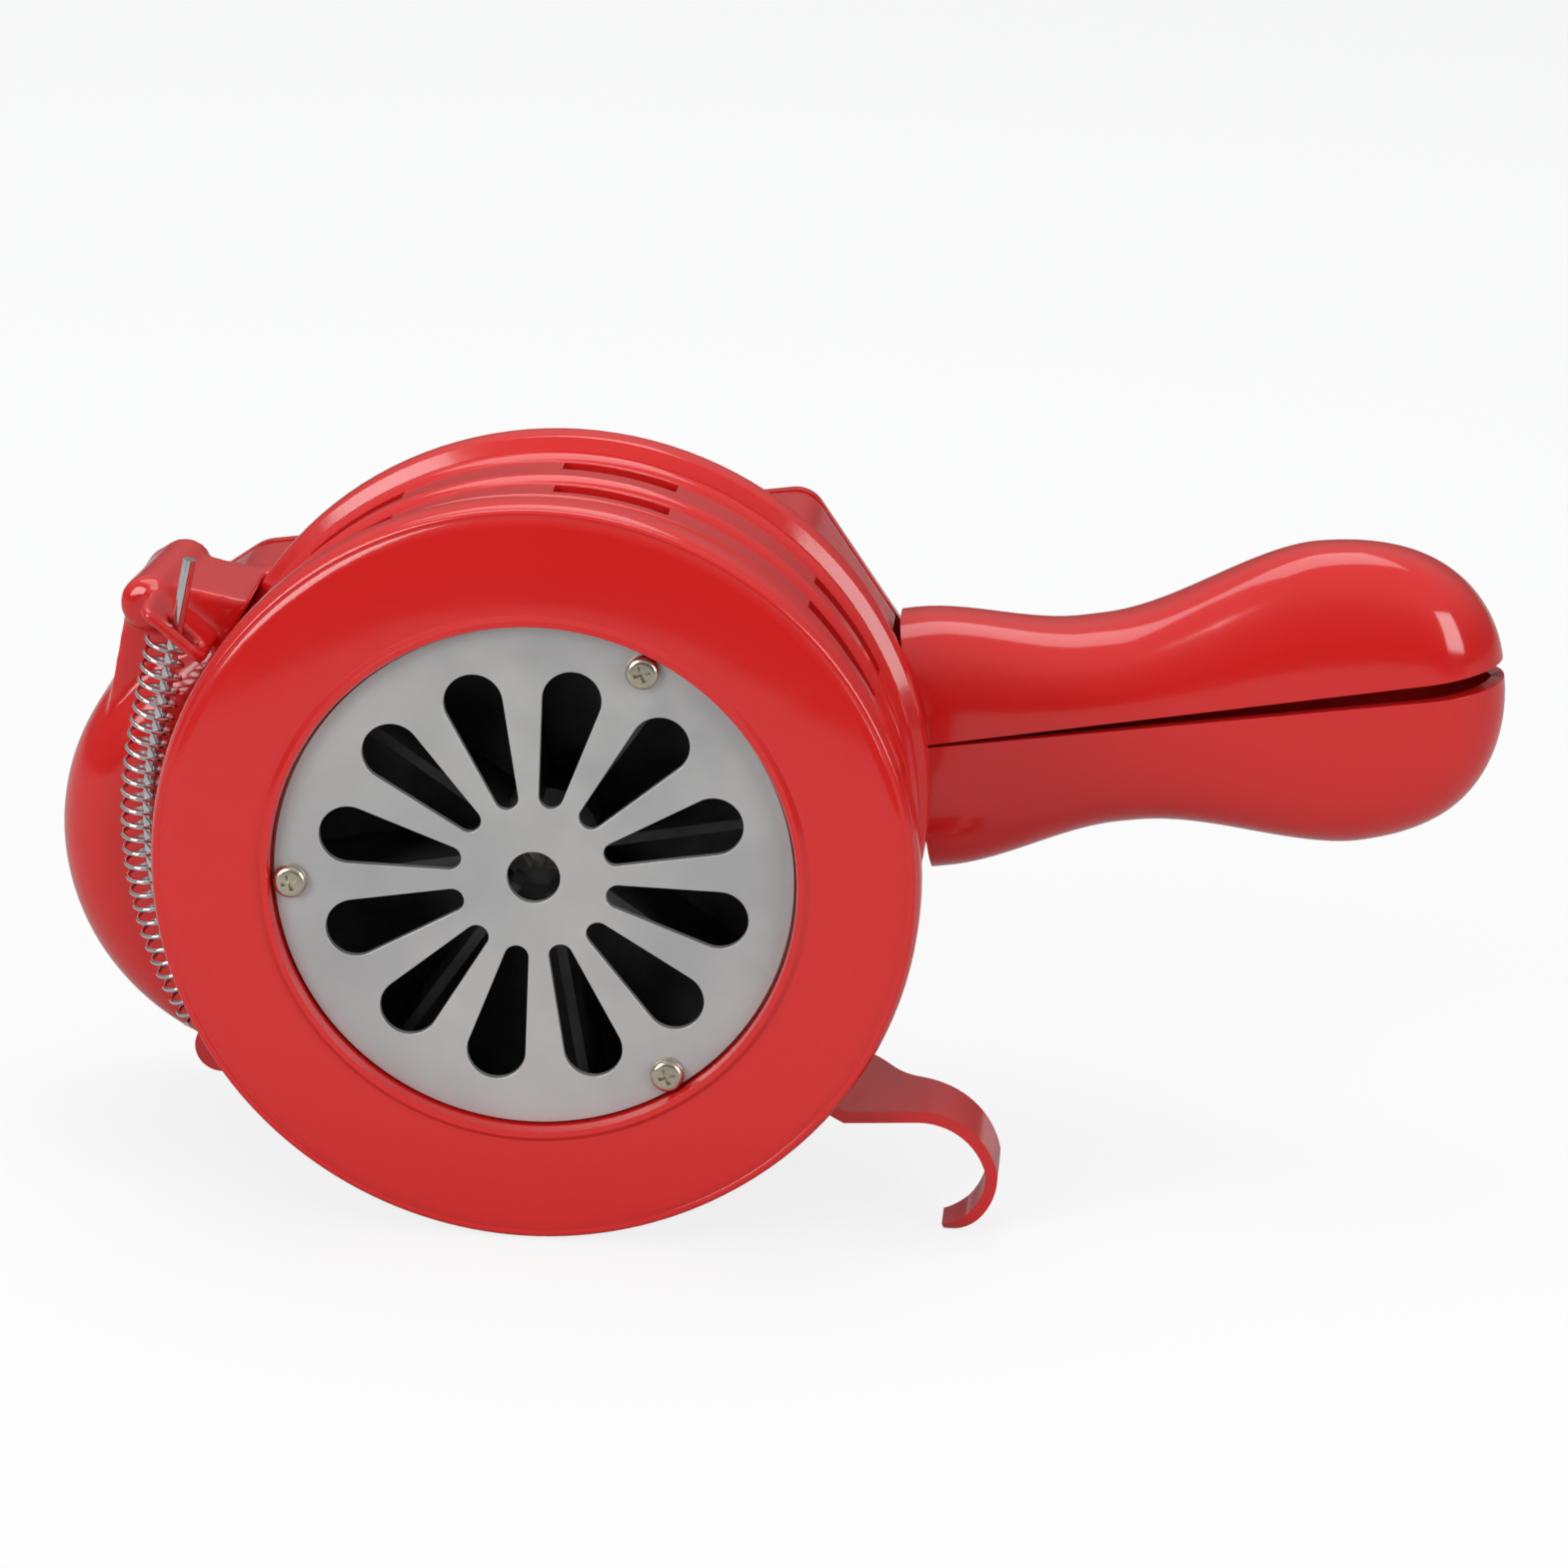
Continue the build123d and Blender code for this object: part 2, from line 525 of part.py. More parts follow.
def gear_case():
    shell = slab(case_outline(0), CASE_FRONT, CASE_BACK)
    shell -= slab(case_outline(-CASE_WALL), CASE_FRONT + CASE_FLOOR, CASE_BACK + 1)
    nose = disc(CASE_R, CASE_NOSE_FRONT, CASE_FRONT + 1, GEAR_X, GEAR_Z)
    nose = fillet(nose.edges().sort_by(Axis.Y)[0], CASE_NOSE_ROUND)
    hollow = disc(CASE_R - CASE_WALL - 1, CASE_NOSE_FRONT + CASE_WALL, CASE_FRONT + 1, GEAR_X, GEAR_Z)
    hollow = fillet(hollow.edges().sort_by(Axis.Y)[0], CASE_NOSE_ROUND - CASE_WALL)
    keep = disc(REAR_RIM_R + CASE_WALL, CASE_NOSE_FRONT, CASE_FRONT)
    nose -= hollow - keep
    front = nose + lobe() - disc(REAR_RIM_R, CASE_NOSE_FRONT - 5, CASE_FRONT)
    case = shell + front + spring_tab()
    for x, z in COVER_BOSSES:
        case += disc(4.0, CASE_FRONT + 1, CASE_BACK, x, z)
        case -= disc(SCREW_SHANK_R, CASE_BACK - 9, CASE_BACK + 1, x, z)
    case += disc(CRANK_SHAFT_R + 4, CASE_FRONT + 1, CASE_FRONT + 7, GEAR_X, GEAR_Z)
    case -= disc(CRANK_SHAFT_R + RUN_CLEAR, CASE_FRONT + 1, CASE_FRONT + 8, GEAR_X, GEAR_Z)
    case -= disc(IDLER_SHAFT_R, CASE_FRONT + 0.8, CASE_FRONT + 8, IDLER_X, IDLER_Z)
    case -= disc(SHAFT_R + 3, CASE_FRONT - 1, CASE_FRONT + CASE_FLOOR + 1)
    foot_top = IDLER_Z - IDLER_CASE_R + 3
    foot = Pos((FOOT_LEFT + FOOT_RIGHT) / 2, (FLOOR + foot_top) / 2)
    foot *= Rectangle(FOOT_RIGHT - FOOT_LEFT, foot_top - FLOOR)
    case += slab(foot, CASE_FRONT, CASE_FRONT + FOOT_DEPTH)
    pocket_floor = CASE_BACK - TONGUE_THICK
    pocket = hull(CASE_PAD, CASE_PAD_LOW, (40.0, 12.0, 8.0)) & case_outline(0)
    case += slab(pocket, CASE_FRONT, pocket_floor)
    case -= handle_tongue()
    for x, z in handle_screw_places():
        case -= disc(SCREW_SHANK_R, CASE_FRONT + 1, CASE_BACK, x, z)
    for x, z in case_screw_places():
        case -= disc(SCREW_SHANK_R, CASE_FRONT - 1, CASE_BACK, x, z)
        case -= disc(BOSS_SCREW_R + 0.3, CASE_FRONT + CASE_SCREW_SEAT, CASE_BACK, x, z)
    return case


def gear_cover():
    plate = slab(case_outline(0), CASE_BACK, COVER_BACK)
    rim = plate.edges().filter_by(lambda edge: edge.center().Y > COVER_BACK - 0.01)
    plate = fillet(rim, 1.2)
    plate += disc(CRANK_SHAFT_R + 5, COVER_BACK - 0.1, COVER_BACK + 2, GEAR_X, GEAR_Z)
    plate -= disc(CRANK_SHAFT_R + 2, CASE_BACK - 2, COVER_BACK + 3, GEAR_X, GEAR_Z)
    for x, z in [*COVER_BOSSES, *handle_screw_places()]:
        plate -= disc(SCREW_SHANK_R, CASE_BACK - 1, COVER_BACK + 1, x, z)
    return plate


def back_screw(x, z, seat, depth):
    """A pan head screw driven from the back."""
    head = disc(BOSS_SCREW_R, seat, seat + 1.8, x, z)
    head = fillet(head.edges().sort_by(Axis.Y)[-1], 1.0)
    slot = slab(Pos(x, z) * Rectangle(0.8, 2 * BOSS_SCREW_R), seat + 1.0, seat + 3)
    return head - slot + disc(SCREW_SHANK_R, seat - depth, seat, x, z)


def cover_screws():
    return [back_screw(x, z, COVER_BACK, COVER_THICK + 8) for x, z in COVER_BOSSES]


# ---------------------------------------------------------------- shutter band
def rod_direction():
    """Unit direction of the rod's straight end."""
    turn = math.radians(ROD_BEND - 90)
    return math.cos(turn), math.sin(turn)


def rod_point_at(height):
    """The straight end's X at a height above the drum's axis."""
    x, z = polar(ROD_ARC_R, ROD_BEND)
    dx, dz = rod_direction()
    return x + dx * (height - z) / dz


def tab_plane():
    """Plane of the tilted tab: X falls towards the drum, Y points to the back."""
    dx, dz = polar(1.0, TAB_TILT)
    origin = (rod_point_at(TAB_Z), ROD_Y, TAB_Z)
    return Plane(origin=origin, x_dir=(dx, 0, dz), z_dir=(-dz, 0, dx))


def spring_tab():
    """Tilted plate on the lobe, slotted for the rod."""
    corners = ((TAB_LEFT, TAB_FRONT, TAB_CORNER), (TAB_RIGHT, TAB_FRONT, TAB_CORNER),
               (TAB_LEFT, TAB_BACK, 1.0), (TAB_RIGHT, TAB_BACK, 1.0))
    shape = hull(*[
        (x + (radius if x < 0 else -radius), y + (radius if y < 0 else -radius), radius)
        for x, y, radius in corners
    ])
    slot = hull(*[(x, 0, TAB_SLOT_R) for x in TAB_SLOT])
    return extrude(tab_plane() * (shape - slot), amount=TAB_THICK / 2, both=True)


def rod_path():
    start = polar(ROD_ARC_R, LUG_ANGLE)
    middle = polar(ROD_ARC_R, (LUG_ANGLE + 360 + ROD_BEND) / 2)
    end = polar(ROD_ARC_R, ROD_BEND)
    top = (rod_point_at(ROD_TOP), ROD_TOP)
    curve = ThreePointArc(start, middle, end) + Line(end, top)
    return front_plane(ROD_Y) * curve


def guide_rod():
    path = rod_path()
    x, z = polar(ROD_ARC_R, LUG_ANGLE)
    dx, dz = polar(1.0, LUG_ANGLE - 90)
    section = Plane(origin=(x, ROD_Y, z), z_dir=(dx, 0, dz)) * Circle(ROD_R)
    return sweep(section, path=path)


def hook():
    """The band's free end: a strip that leaves the drum, turns down and tapers to a round tip."""
    path = Polyline(HOOK_ROOT, HOOK_CORNER, HOOK_BEND_START)
    path += ThreePointArc(HOOK_BEND_START, HOOK_SHOULDER, HOOK_SIDE)
    path += ThreePointArc(HOOK_SIDE, HOOK_HEEL, HOOK_TIP)
    strip = slab(trace(path, HOOK_THICK), HOOK_FRONT, BAND_BACK)
    strip -= disc(BAND_R + 1.2, HOOK_FRONT - 1, BAND_FRONT)
    left, right, far = HOOK_ROOT[0] - 3, 88.0, BAND_BACK + 5
    edge = Spline((left, BAND_BACK + 1), (59.5, 38.0), (64.5, 30.5), (74.0, 26.5), (right, 22.0))
    rest = Polyline((right, 22.0), (right, far), (left, far), (left, BAND_BACK + 1))
    strip -= extrude(make_face(edge + rest), amount=200, both=True)
    side = Plane(origin=(45, 0, 0), x_dir=(0, 1, 0), z_dir=(1, 0, 0))
    tip_front = HOOK_FRONT + 0.6
    tip_back = tip_front + 2 * HOOK_TIP_R
    round_top = HOOK_TIP[1] + HOOK_TIP_R - 1
    keep = Polyline((HOOK_FRONT, -40), (HOOK_FRONT, -54), (tip_front, round_top))
    keep += ThreePointArc((tip_front, round_top), ((tip_front + tip_back) / 2, FLOOR),
                          (tip_back, round_top))
    keep += Polyline((tip_back, round_top), (26.5, -51), (BAND_BACK, -48), (BAND_BACK, -40),
                     (HOOK_FRONT, -40))
    return strip & extrude(side * make_face(keep), amount=50)


def lug():
    """Round lug at the band's other end, which holds the foot of the guide rod."""
    x, z = polar(ROD_ARC_R, LUG_ANGLE)
    near_x, near_z = polar((BAND_R + BAND_OUTER_R) / 2, LUG_ANGLE + 4)
    shape = hull((x, z, LUG_R), (near_x, near_z, BAND_THICK * 0.45))
    inside = disc(BAND_R, ROD_Y - LUG_WIDTH, ROD_Y + LUG_WIDTH)
    return slab(shape, ROD_Y - LUG_WIDTH / 2, ROD_Y + LUG_WIDTH / 2) - inside


def guide_slot(angle, depth):
    """Slot that lets the band slide past one guide screw."""
    half = GUIDE_SHANK_R + GUIDE_CLEAR
    reach = math.degrees(half / BAND_R)
    return ring_sector(BAND_R - 1, BAND_OUTER_R + 1, depth - half, depth + half,
                       angle - reach, angle + BAND_TRAVEL + reach)


def shutter_band():
    band = ring_sector(BAND_R, BAND_OUTER_R, BAND_FRONT, BAND_BACK, BAND_STEP, BAND_END)
    band += ring_sector(BAND_R, BAND_OUTER_R, BAND_FRONT, BAND_NARROW_BACK, BAND_START,
                        BAND_STEP + 0.1)
    first = PORT_START - 180
    step = 360 / PORT_COUNT
    for row, start in ((PORT_ROWS[0], first), (PORT_ROWS[0], first + step),
                       (PORT_ROWS[1], first + step)):
        band -= ring_sector(
            BAND_R - 1, BAND_OUTER_R + 1, row - PORT_WIDTH / 2, row + PORT_WIDTH / 2,
            start - WINDOW_MARGIN, start + PORT_ARC + WINDOW_MARGIN,
        )
    for angle, depth in GUIDES:
        band -= guide_slot(angle, depth)
    return band + lug() + hook() - guide_rod()


def band_screws():
    """Shoulder screws that hold the band on the drum."""
    screws = []
    seat = BAND_OUTER_R + GUIDE_CLEAR
    for angle, depth in GUIDES:
        head = guide_pin(angle, depth, GUIDE_HEAD_R, seat, seat + GUIDE_HEAD)
        screws.append(head + guide_pin(angle, depth, GUIDE_SHANK_R, CAVITY_R, seat + 0.1))
    return screws


def spring_axis(length):
    """Point and direction of the rod's centre line, from the lug upwards, by length."""
    arc_turn = LUG_ANGLE + 360 - ROD_BEND
    arc_length = math.radians(arc_turn) * ROD_ARC_R
    if length < arc_length:
        angle = LUG_ANGLE - math.degrees(length / ROD_ARC_R)
        return polar(ROD_ARC_R, angle), polar(1.0, angle - 90)
    bend_x, bend_z = polar(ROD_ARC_R, ROD_BEND)
    dx, dz = rod_direction()
    rest = length - arc_length
    return (bend_x + dx * rest, bend_z + dz * rest), (dx, dz)


def spring_limits():
    """Lengths along the rod at which the spring starts and ends."""
    arc_length = math.radians(LUG_ANGLE + 360 - ROD_BEND) * ROD_ARC_R
    bend_z = polar(ROD_ARC_R, ROD_BEND)[1]
    straight = (TAB_Z - bend_z) / rod_direction()[1]
    seat = SPRING_END_GAP + SPRING_WIRE_R
    return LUG_R + seat, arc_length + straight - SPRING_TAB_ROOM


def coil_point(share):
    """Point on the spring's wire centre line at a share of its whole run."""
    first, last = spring_limits()
    (x, z), (dx, dz) = spring_axis(first + share * (last - first))
    turn = 2 * math.pi * SPRING_TURNS * share
    out = SPRING_OFFSET + SPRING_R * math.cos(turn)
    back = SPRING_R * math.sin(turn)
    return Vector(x - dz * out, ROD_Y + back, z + dx * out)


def coil_direction(share):
    step = 1e-4
    return (coil_point(share + step) - coil_point(share - step)).normalized()


def biarc(start, start_dir, end, end_dir):
    """Two arcs that leave and arrive along given directions."""
    chord = end - start
    both = start_dir + end_dir
    bend = 2 * (1 - start_dir.dot(end_dir))
    along = chord.dot(both)
    reach = (-along + math.sqrt(along**2 + bend * chord.dot(chord))) / bend
    middle = (start + end + (start_dir - end_dir) * reach) * 0.5
    middle_dir = (end - end_dir * reach - start - start_dir * reach).normalized()
    first = Edge.make_tangent_arc(start, start_dir, middle)
    return [first, Edge.make_tangent_arc(middle, middle_dir, end)]


def return_spring():
    """The open coil around the guide rod, one round wire bent along the rod's curve."""
    halves = 2 * SPRING_TURNS
    edges = []
    for k in range(halves):
        a, b = k / halves, (k + 1) / halves
        edges += biarc(coil_point(a), coil_direction(a), coil_point(b), coil_direction(b))
    path = Wire(edges)
    section = Plane(origin=coil_point(0), z_dir=coil_direction(0)) * Circle(SPRING_WIRE_R)
    return sweep(section, path=path)


def print_spring_gap():
    """Least gap between neighbouring turns, measured on points."""
    samples = 24
    count = SPRING_TURNS * samples
    points = [coil_point(k / count) for k in range(count + 1)]
    least = min(
        (points[i] - points[j]).length
        for i in range(0, count + 1 - samples // 2)
        for j in range(i + samples // 2, min(i + 2 * samples, count + 1))
    )
    print("spring: least gap between turns", round(least - 2 * SPRING_WIRE_R, 2), "mm")


# ---------------------------------------------------------------- handle
def handle_plane(tilt, drop, mirrored):
    """Sketch plane of one handle half: X along the parting line, Y away from it."""
    turn = math.radians(tilt)
    along = (math.cos(turn), 0, math.sin(turn))
    if mirrored:
        return Plane(origin=(HANDLE_X, HANDLE_FRONT, HANDLE_Z - drop), x_dir=along, z_dir=(0, 1, 0))
    return Plane(origin=(HANDLE_X, HANDLE_BACK, HANDLE_Z), x_dir=along, z_dir=(0, -1, 0))


def handle_outline(inset, deeper):
    """Side outline of one half, drawn in by an inset and carried on past its parting line."""
    below = HANDLE_COLLAR
    grow = deeper - inset
    collar = HANDLE_COLLAR + grow
    end = HANDLE_LENGTH - inset
    slope = (HANDLE_WAIST + HANDLE_CROWN) / 2 + grow
    curve = Spline(
        (inset, collar), (HANDLE_COLLAR_LENGTH, collar - 0.9),
        (HANDLE_WAIST_AT, HANDLE_WAIST + grow), ((HANDLE_WAIST_AT + HANDLE_CROWN_AT) / 2, slope),
        (HANDLE_CROWN_AT, HANDLE_CROWN + grow),
        (HANDLE_SHOULDER_AT - inset / 2, HANDLE_SHOULDER + grow), (end, 0),
        tangents=[(1, 0), (0, -1)],
    )
    base = Polyline((end, 0), (end, -below), (inset, -below), (inset, collar))
    return make_face(curve + base)


def pod(plane, inset, deeper):
    """Rounded body of the handle, drawn in by an inset, reaching past the parting line."""
    near = Plane(origin=plane.origin + plane.z_dir * inset, x_dir=plane.x_dir, z_dir=plane.z_dir)
    width = HANDLE_WIDTH - 2 * inset
    body = extrude(near * handle_outline(inset, deeper), amount=width)

    def on_rim(edge):
        place = edge.center() - near.origin
        flat = min(abs(place.Y), abs(abs(place.Y) - width)) < 0.01
        return flat and place.dot(near.x_dir) > 3 and place.dot(near.y_dir) > 4 - HANDLE_COLLAR

    return fillet(body.edges().filter_by(on_rim), HANDLE_ROUND - inset)


def half_shell(plane, deeper):
    """One hollow half of the waisted handle, open at the parting line."""
    room = Pos(HANDLE_LENGTH / 2, HANDLE_COLLAR) * Rectangle(HANDLE_LENGTH + 2, 2 * HANDLE_COLLAR)
    upper = extrude(plane * room, amount=HANDLE_WIDTH)
    return (pod(plane, 0, deeper) & upper) - pod(plane, HANDLE_WALL, deeper)


def fixed_handle():
    """Upper handle half with the tongue that sits in the gear case's pocket."""
    plane = handle_plane(HANDLE_TILT, 0, False)
    handle = half_shell(plane, 0) + handle_tongue()
    for x, z in handle_screw_places():
        handle -= disc(SCREW_SHANK_R, CASE_FRONT, COVER_BACK, x, z)
    return handle


def handle_tongue():
    plane = handle_plane(HANDLE_TILT, 0, False)
    tongue = Pos(-TONGUE_LENGTH / 2 + 1, TONGUE_HEIGHT / 2 + 1.5)
    tongue *= Rectangle(TONGUE_LENGTH + 2, TONGUE_HEIGHT)
    shifted = Plane(origin=plane.origin + Vector(0, CASE_BACK - HANDLE_BACK, 0),
                    x_dir=plane.x_dir, z_dir=plane.z_dir)
    return extrude(shifted * tongue, amount=TONGUE_THICK)


def grip_plane():
    return handle_plane(GRIP_TILT, HANDLE_GAP, True)


def grip_point(along, drop):
    """X and Z of a point on the grip, along it and below its parting line."""
    turn = math.radians(GRIP_TILT)
    x = HANDLE_X + along * math.cos(turn) + drop * math.sin(turn)
    z = HANDLE_Z - HANDLE_GAP + along * math.sin(turn) - drop * math.cos(turn)
    return x, z


def hinge_plane(drop):
    """Plane square to the hinge pin, with X along the grip and Y to the front."""
    x, z = grip_point(HINGE_AT, drop)
    turn = math.radians(GRIP_TILT)
    return Plane(origin=(x, HINGE_Y, z), x_dir=(math.cos(turn), 0, math.sin(turn)),
                 z_dir=(math.sin(turn), 0, -math.cos(turn)))


def hinge_ears():
    ears = []
    reach = HINGE_Y - HANDLE_BACK + 2 * HANDLE_WALL
    for start in (HINGE_DROP - KNUCKLE_HEIGHT / 2 - EAR_GAP - EAR_THICK,
                  HINGE_DROP + KNUCKLE_HEIGHT / 2 + EAR_GAP):
        plane = hinge_plane(start)
        front = -1 if plane.y_dir.Y > 0 else 1
        shape = Circle(KNUCKLE_R) + Pos(0, front * reach / 2) * Rectangle(2 * KNUCKLE_R, reach)
        shape -= Circle(HINGE_PIN_R + RUN_CLEAR)
        ears.append(extrude(plane * shape, amount=EAR_THICK))
    return ears


def folding_grip():
    """Lower handle half, hinged on the crank arm."""
    grip = half_shell(grip_plane(), GRIP_DEEPER)
    for ear in hinge_ears():
        grip += ear
    return grip


def hinge_pin():
    start = HINGE_DROP - KNUCKLE_HEIGHT / 2 - EAR_GAP - EAR_THICK
    length = KNUCKLE_HEIGHT + 2 * EAR_GAP + 2 * EAR_THICK
    return extrude(hinge_plane(start) * Circle(HINGE_PIN_R), amount=length)


def crank_arm():
    """Flat arm from the crank shaft to the grip's knuckle."""
    hinge_x, hinge_z = grip_point(HINGE_AT, HINGE_DROP)
    reach = math.hypot(hinge_x - GEAR_X, hinge_z - GEAR_Z)
    turn = math.degrees(math.atan2(hinge_z - GEAR_Z, hinge_x - GEAR_X))
    taper = Polyline(
        (0, -ARM_WIDTH / 2), (reach - 24, -ARM_WIDTH / 2 + 2.5), (reach - 12, -ARM_END_WIDTH / 2),
        (reach, -ARM_END_WIDTH / 2), (reach, ARM_END_WIDTH / 2), (reach - 12, ARM_END_WIDTH / 2),
        (reach - 24, ARM_WIDTH / 2 - 2.5), (0, ARM_WIDTH / 2), close=True,
    )
    shape = make_face(taper) + Circle(ARM_WIDTH / 2)
    arm = slab(Pos(GEAR_X, GEAR_Z) * Rot(0, 0, turn) * shape, ARM_FRONT, ARM_BACK)
    knuckle = hinge_plane(HINGE_DROP - KNUCKLE_HEIGHT / 2) * Circle(KNUCKLE_R)
    arm += extrude(knuckle, amount=KNUCKLE_HEIGHT)
    arm -= disc(CRANK_SHAFT_R, ARM_FRONT - 1, ARM_BACK + 1, GEAR_X, GEAR_Z)
    return arm - hinge_pin()


def crank_washer():
    return tube(CRANK_NUT_ACROSS * 0.62, CRANK_SHAFT_R, ARM_BACK, ARM_BACK + 1.2, GEAR_X, GEAR_Z)


def crank_nut():
    nut = hexagon(CRANK_NUT_ACROSS) - Circle(CRANK_SHAFT_R)
    front = ARM_BACK + 1.2
    return slab(Pos(GEAR_X, GEAR_Z) * nut, front, front + CRANK_NUT_THICK)


def crank_collar():
    """Spacer on the crank shaft between the cover's bush and the arm."""
    return tube(CRANK_SHAFT_R + 2.5, CRANK_SHAFT_R, COVER_BACK + 2.2, ARM_FRONT, GEAR_X, GEAR_Z)


def handle_screw_places():
    turn = math.radians(HANDLE_TILT)
    places = []
    for along, rise in ((-TONGUE_LENGTH + 4.5, 6.0), (-TONGUE_LENGTH + 4.5, TONGUE_HEIGHT - 3.0)):
        x = HANDLE_X + along * math.cos(turn) - rise * math.sin(turn)
        z = HANDLE_Z + along * math.sin(turn) + rise * math.cos(turn)
        places.append((x, z))
    return places


def handle_screws():
    depth = COVER_BACK - CASE_FRONT - 1
    return [back_screw(x, z, COVER_BACK, depth) for x, z in handle_screw_places()]


def case_screw_places():
    return [polar(CASE_SCREW_AT, angle) for angle in (90, 210, 330)]


def case_screws():
    """Screws inside the case that hold it to the drum's back wall."""
    seat = CASE_FRONT + CASE_SCREW_SEAT
    return [
        back_screw(x, z, seat, CASE_SCREW_SEAT + BACK_WALL_THICK - 0.3)
        for x, z in case_screw_places()
    ]


def main():
    os.makedirs("parts", exist_ok=True)
    pieces = {
        "drum_casting": drum_casting(),
        "grille_plate": grille_plate(),
        "grille_screws": grille_screws(),
        "rotor": rotor(),
        "rotor_shaft": rotor_shaft(),
        "rotor_nut": rotor_nut(),
        "shaft_spacer": spacer(),
        "front_bearing": bearing(DRUM_BACK - HUB_LENGTH + 0.5),
        "rear_bearing": bearing(DRUM_BACK - BEARING_WIDTH),
        "rotor_pinion": rotor_pinion(),
        "idler_gear": idler_gear(),
        "idler_pinion": idler_pinion(),
        "idler_pin": idler_pin(),
        "crank_gear": crank_gear(),
        "crank_shaft": crank_shaft(),
        "crank_bush": crank_bush(),
        "crank_collar": crank_collar(),
        "crank_arm": crank_arm(),
        "crank_washer": crank_washer(),
        "crank_nut": crank_nut(),
        "hinge_pin": hinge_pin(),
        "folding_grip": folding_grip(),
        "gear_case": gear_case(),
        "gear_cover": gear_cover(),
        "cover_screws": cover_screws(),
        "case_screws": case_screws(),
        "fixed_handle": fixed_handle(),
        "handle_screws": handle_screws(),
        "shutter_band": shutter_band(),
        "band_screws": band_screws(),
        "guide_rod": guide_rod(),
        "return_spring": return_spring(),
    }
    print_spring_gap()
    for name, shape in pieces.items():
        if isinstance(shape, list):
            shape = Compound(children=shape)
        export_step(Pos(-MIDDLE_X, -MIDDLE_Y, FLANGE_R) * shape, f"parts/{name}.step")


main()
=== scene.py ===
"""Studio scene of the hand crank siren: camera, lights, floor, materials and fine detail."""
import json
import math

import bmesh
import bpy
from mathutils import Matrix, Vector


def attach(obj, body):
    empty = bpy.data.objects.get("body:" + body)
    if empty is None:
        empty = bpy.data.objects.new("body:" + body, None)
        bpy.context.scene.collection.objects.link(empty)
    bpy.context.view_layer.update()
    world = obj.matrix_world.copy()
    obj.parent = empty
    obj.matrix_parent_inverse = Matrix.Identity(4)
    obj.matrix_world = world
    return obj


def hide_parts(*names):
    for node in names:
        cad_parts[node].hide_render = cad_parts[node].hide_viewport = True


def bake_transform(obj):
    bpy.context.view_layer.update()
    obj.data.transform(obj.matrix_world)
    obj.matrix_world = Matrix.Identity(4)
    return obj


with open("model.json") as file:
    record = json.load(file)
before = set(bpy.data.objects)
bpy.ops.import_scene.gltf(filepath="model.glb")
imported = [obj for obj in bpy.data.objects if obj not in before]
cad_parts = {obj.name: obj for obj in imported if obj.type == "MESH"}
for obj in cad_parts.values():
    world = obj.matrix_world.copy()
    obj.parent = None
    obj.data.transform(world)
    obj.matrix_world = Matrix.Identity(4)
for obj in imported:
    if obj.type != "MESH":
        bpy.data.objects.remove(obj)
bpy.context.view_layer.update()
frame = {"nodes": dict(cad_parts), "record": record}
nodes = frame["nodes"]
scene = bpy.context.scene
scene.view_settings.view_transform = "Standard"

# ---------------------------------------------------------------- places, in metres
MM = 0.001
MIDDLE_X = 38.88
MIDDLE_Y = 46.95
AXIS_HEIGHT = 66.5


def place(x, y, z):
    """A point given in millimetres from the drum's axis and the grille's front."""
    return Vector(((x - MIDDLE_X) * MM, (y - MIDDLE_Y) * MM, (z + AXIS_HEIGHT) * MM))


# ---------------------------------------------------------------- camera
CAMERA_AZIMUTH = 3.61
CAMERA_ELEVATION = 18.27
CAMERA_ROLL = 2.17
CAMERA_DISTANCE = 1.0
CAMERA_LENS = 135.1
SENSOR_WIDTH = 36.0
NEAR_CLIP = 0.05
FAR_CLIP = 20.0


def make_camera():
    data = bpy.data.cameras.new("camera")
    camera = bpy.data.objects.new("camera", data)
    scene.collection.objects.link(camera)
    turn = math.radians(CAMERA_AZIMUTH)
    lift = math.radians(CAMERA_ELEVATION)
    roll = math.radians(CAMERA_ROLL)
    back = Vector((math.sin(turn) * math.cos(lift), -math.cos(turn) * math.cos(lift),
                   math.sin(lift)))
    level_right = Vector((math.cos(turn), math.sin(turn), 0.0))
    level_up = back.cross(level_right)
    right = level_right * math.cos(roll) + level_up * math.sin(roll)
    up = back.cross(right)
    rotation = Matrix((right, up, back)).transposed().to_4x4()
    target = place(42.4, 0.0, 19.5)      # the middle of the picture
    camera.matrix_world = Matrix.Translation(target + back * CAMERA_DISTANCE) @ rotation
    data.sensor_width = SENSOR_WIDTH
    data.sensor_fit = "HORIZONTAL"
    data.lens = CAMERA_LENS
    data.clip_start = NEAR_CLIP
    data.clip_end = FAR_CLIP
    scene.camera = camera


# ---------------------------------------------------------------- lights and floor
LIGHT_TARGET = Vector((0.0, 0.0, 0.07))

# Name, place in metres, width, height and power in watts
LIGHTS = (
    ("overhead", (-0.15, 0.25, 1.25), 1.1, 0.7, 5.8),
    ("front_left", (-0.9, -1.1, 0.65), 0.7, 0.9, 11.2),
    ("front_right", (1.1, -0.9, 0.5), 0.6, 0.8, 7.7),
)


def area_light(name, location, width, height, power):
    data = bpy.data.lights.new(name, "AREA")
    data.shape = "RECTANGLE"
    data.size = width
    data.size_y = height
    data.energy = power
    light = bpy.data.objects.new(name, data)
    light.location = location
    scene.collection.objects.link(light)
    way = LIGHT_TARGET - light.location
    light.rotation_euler = way.to_track_quat("-Z", "Y").to_euler()


BACKDROP = (0.97, 0.98, 0.98, 1.0)     # what the camera sees
GLOW_STRENGTH = 0.62
GLOW_STEPS = ((0.0, 0.20), (0.85, 0.95))   # grey of the surroundings by height


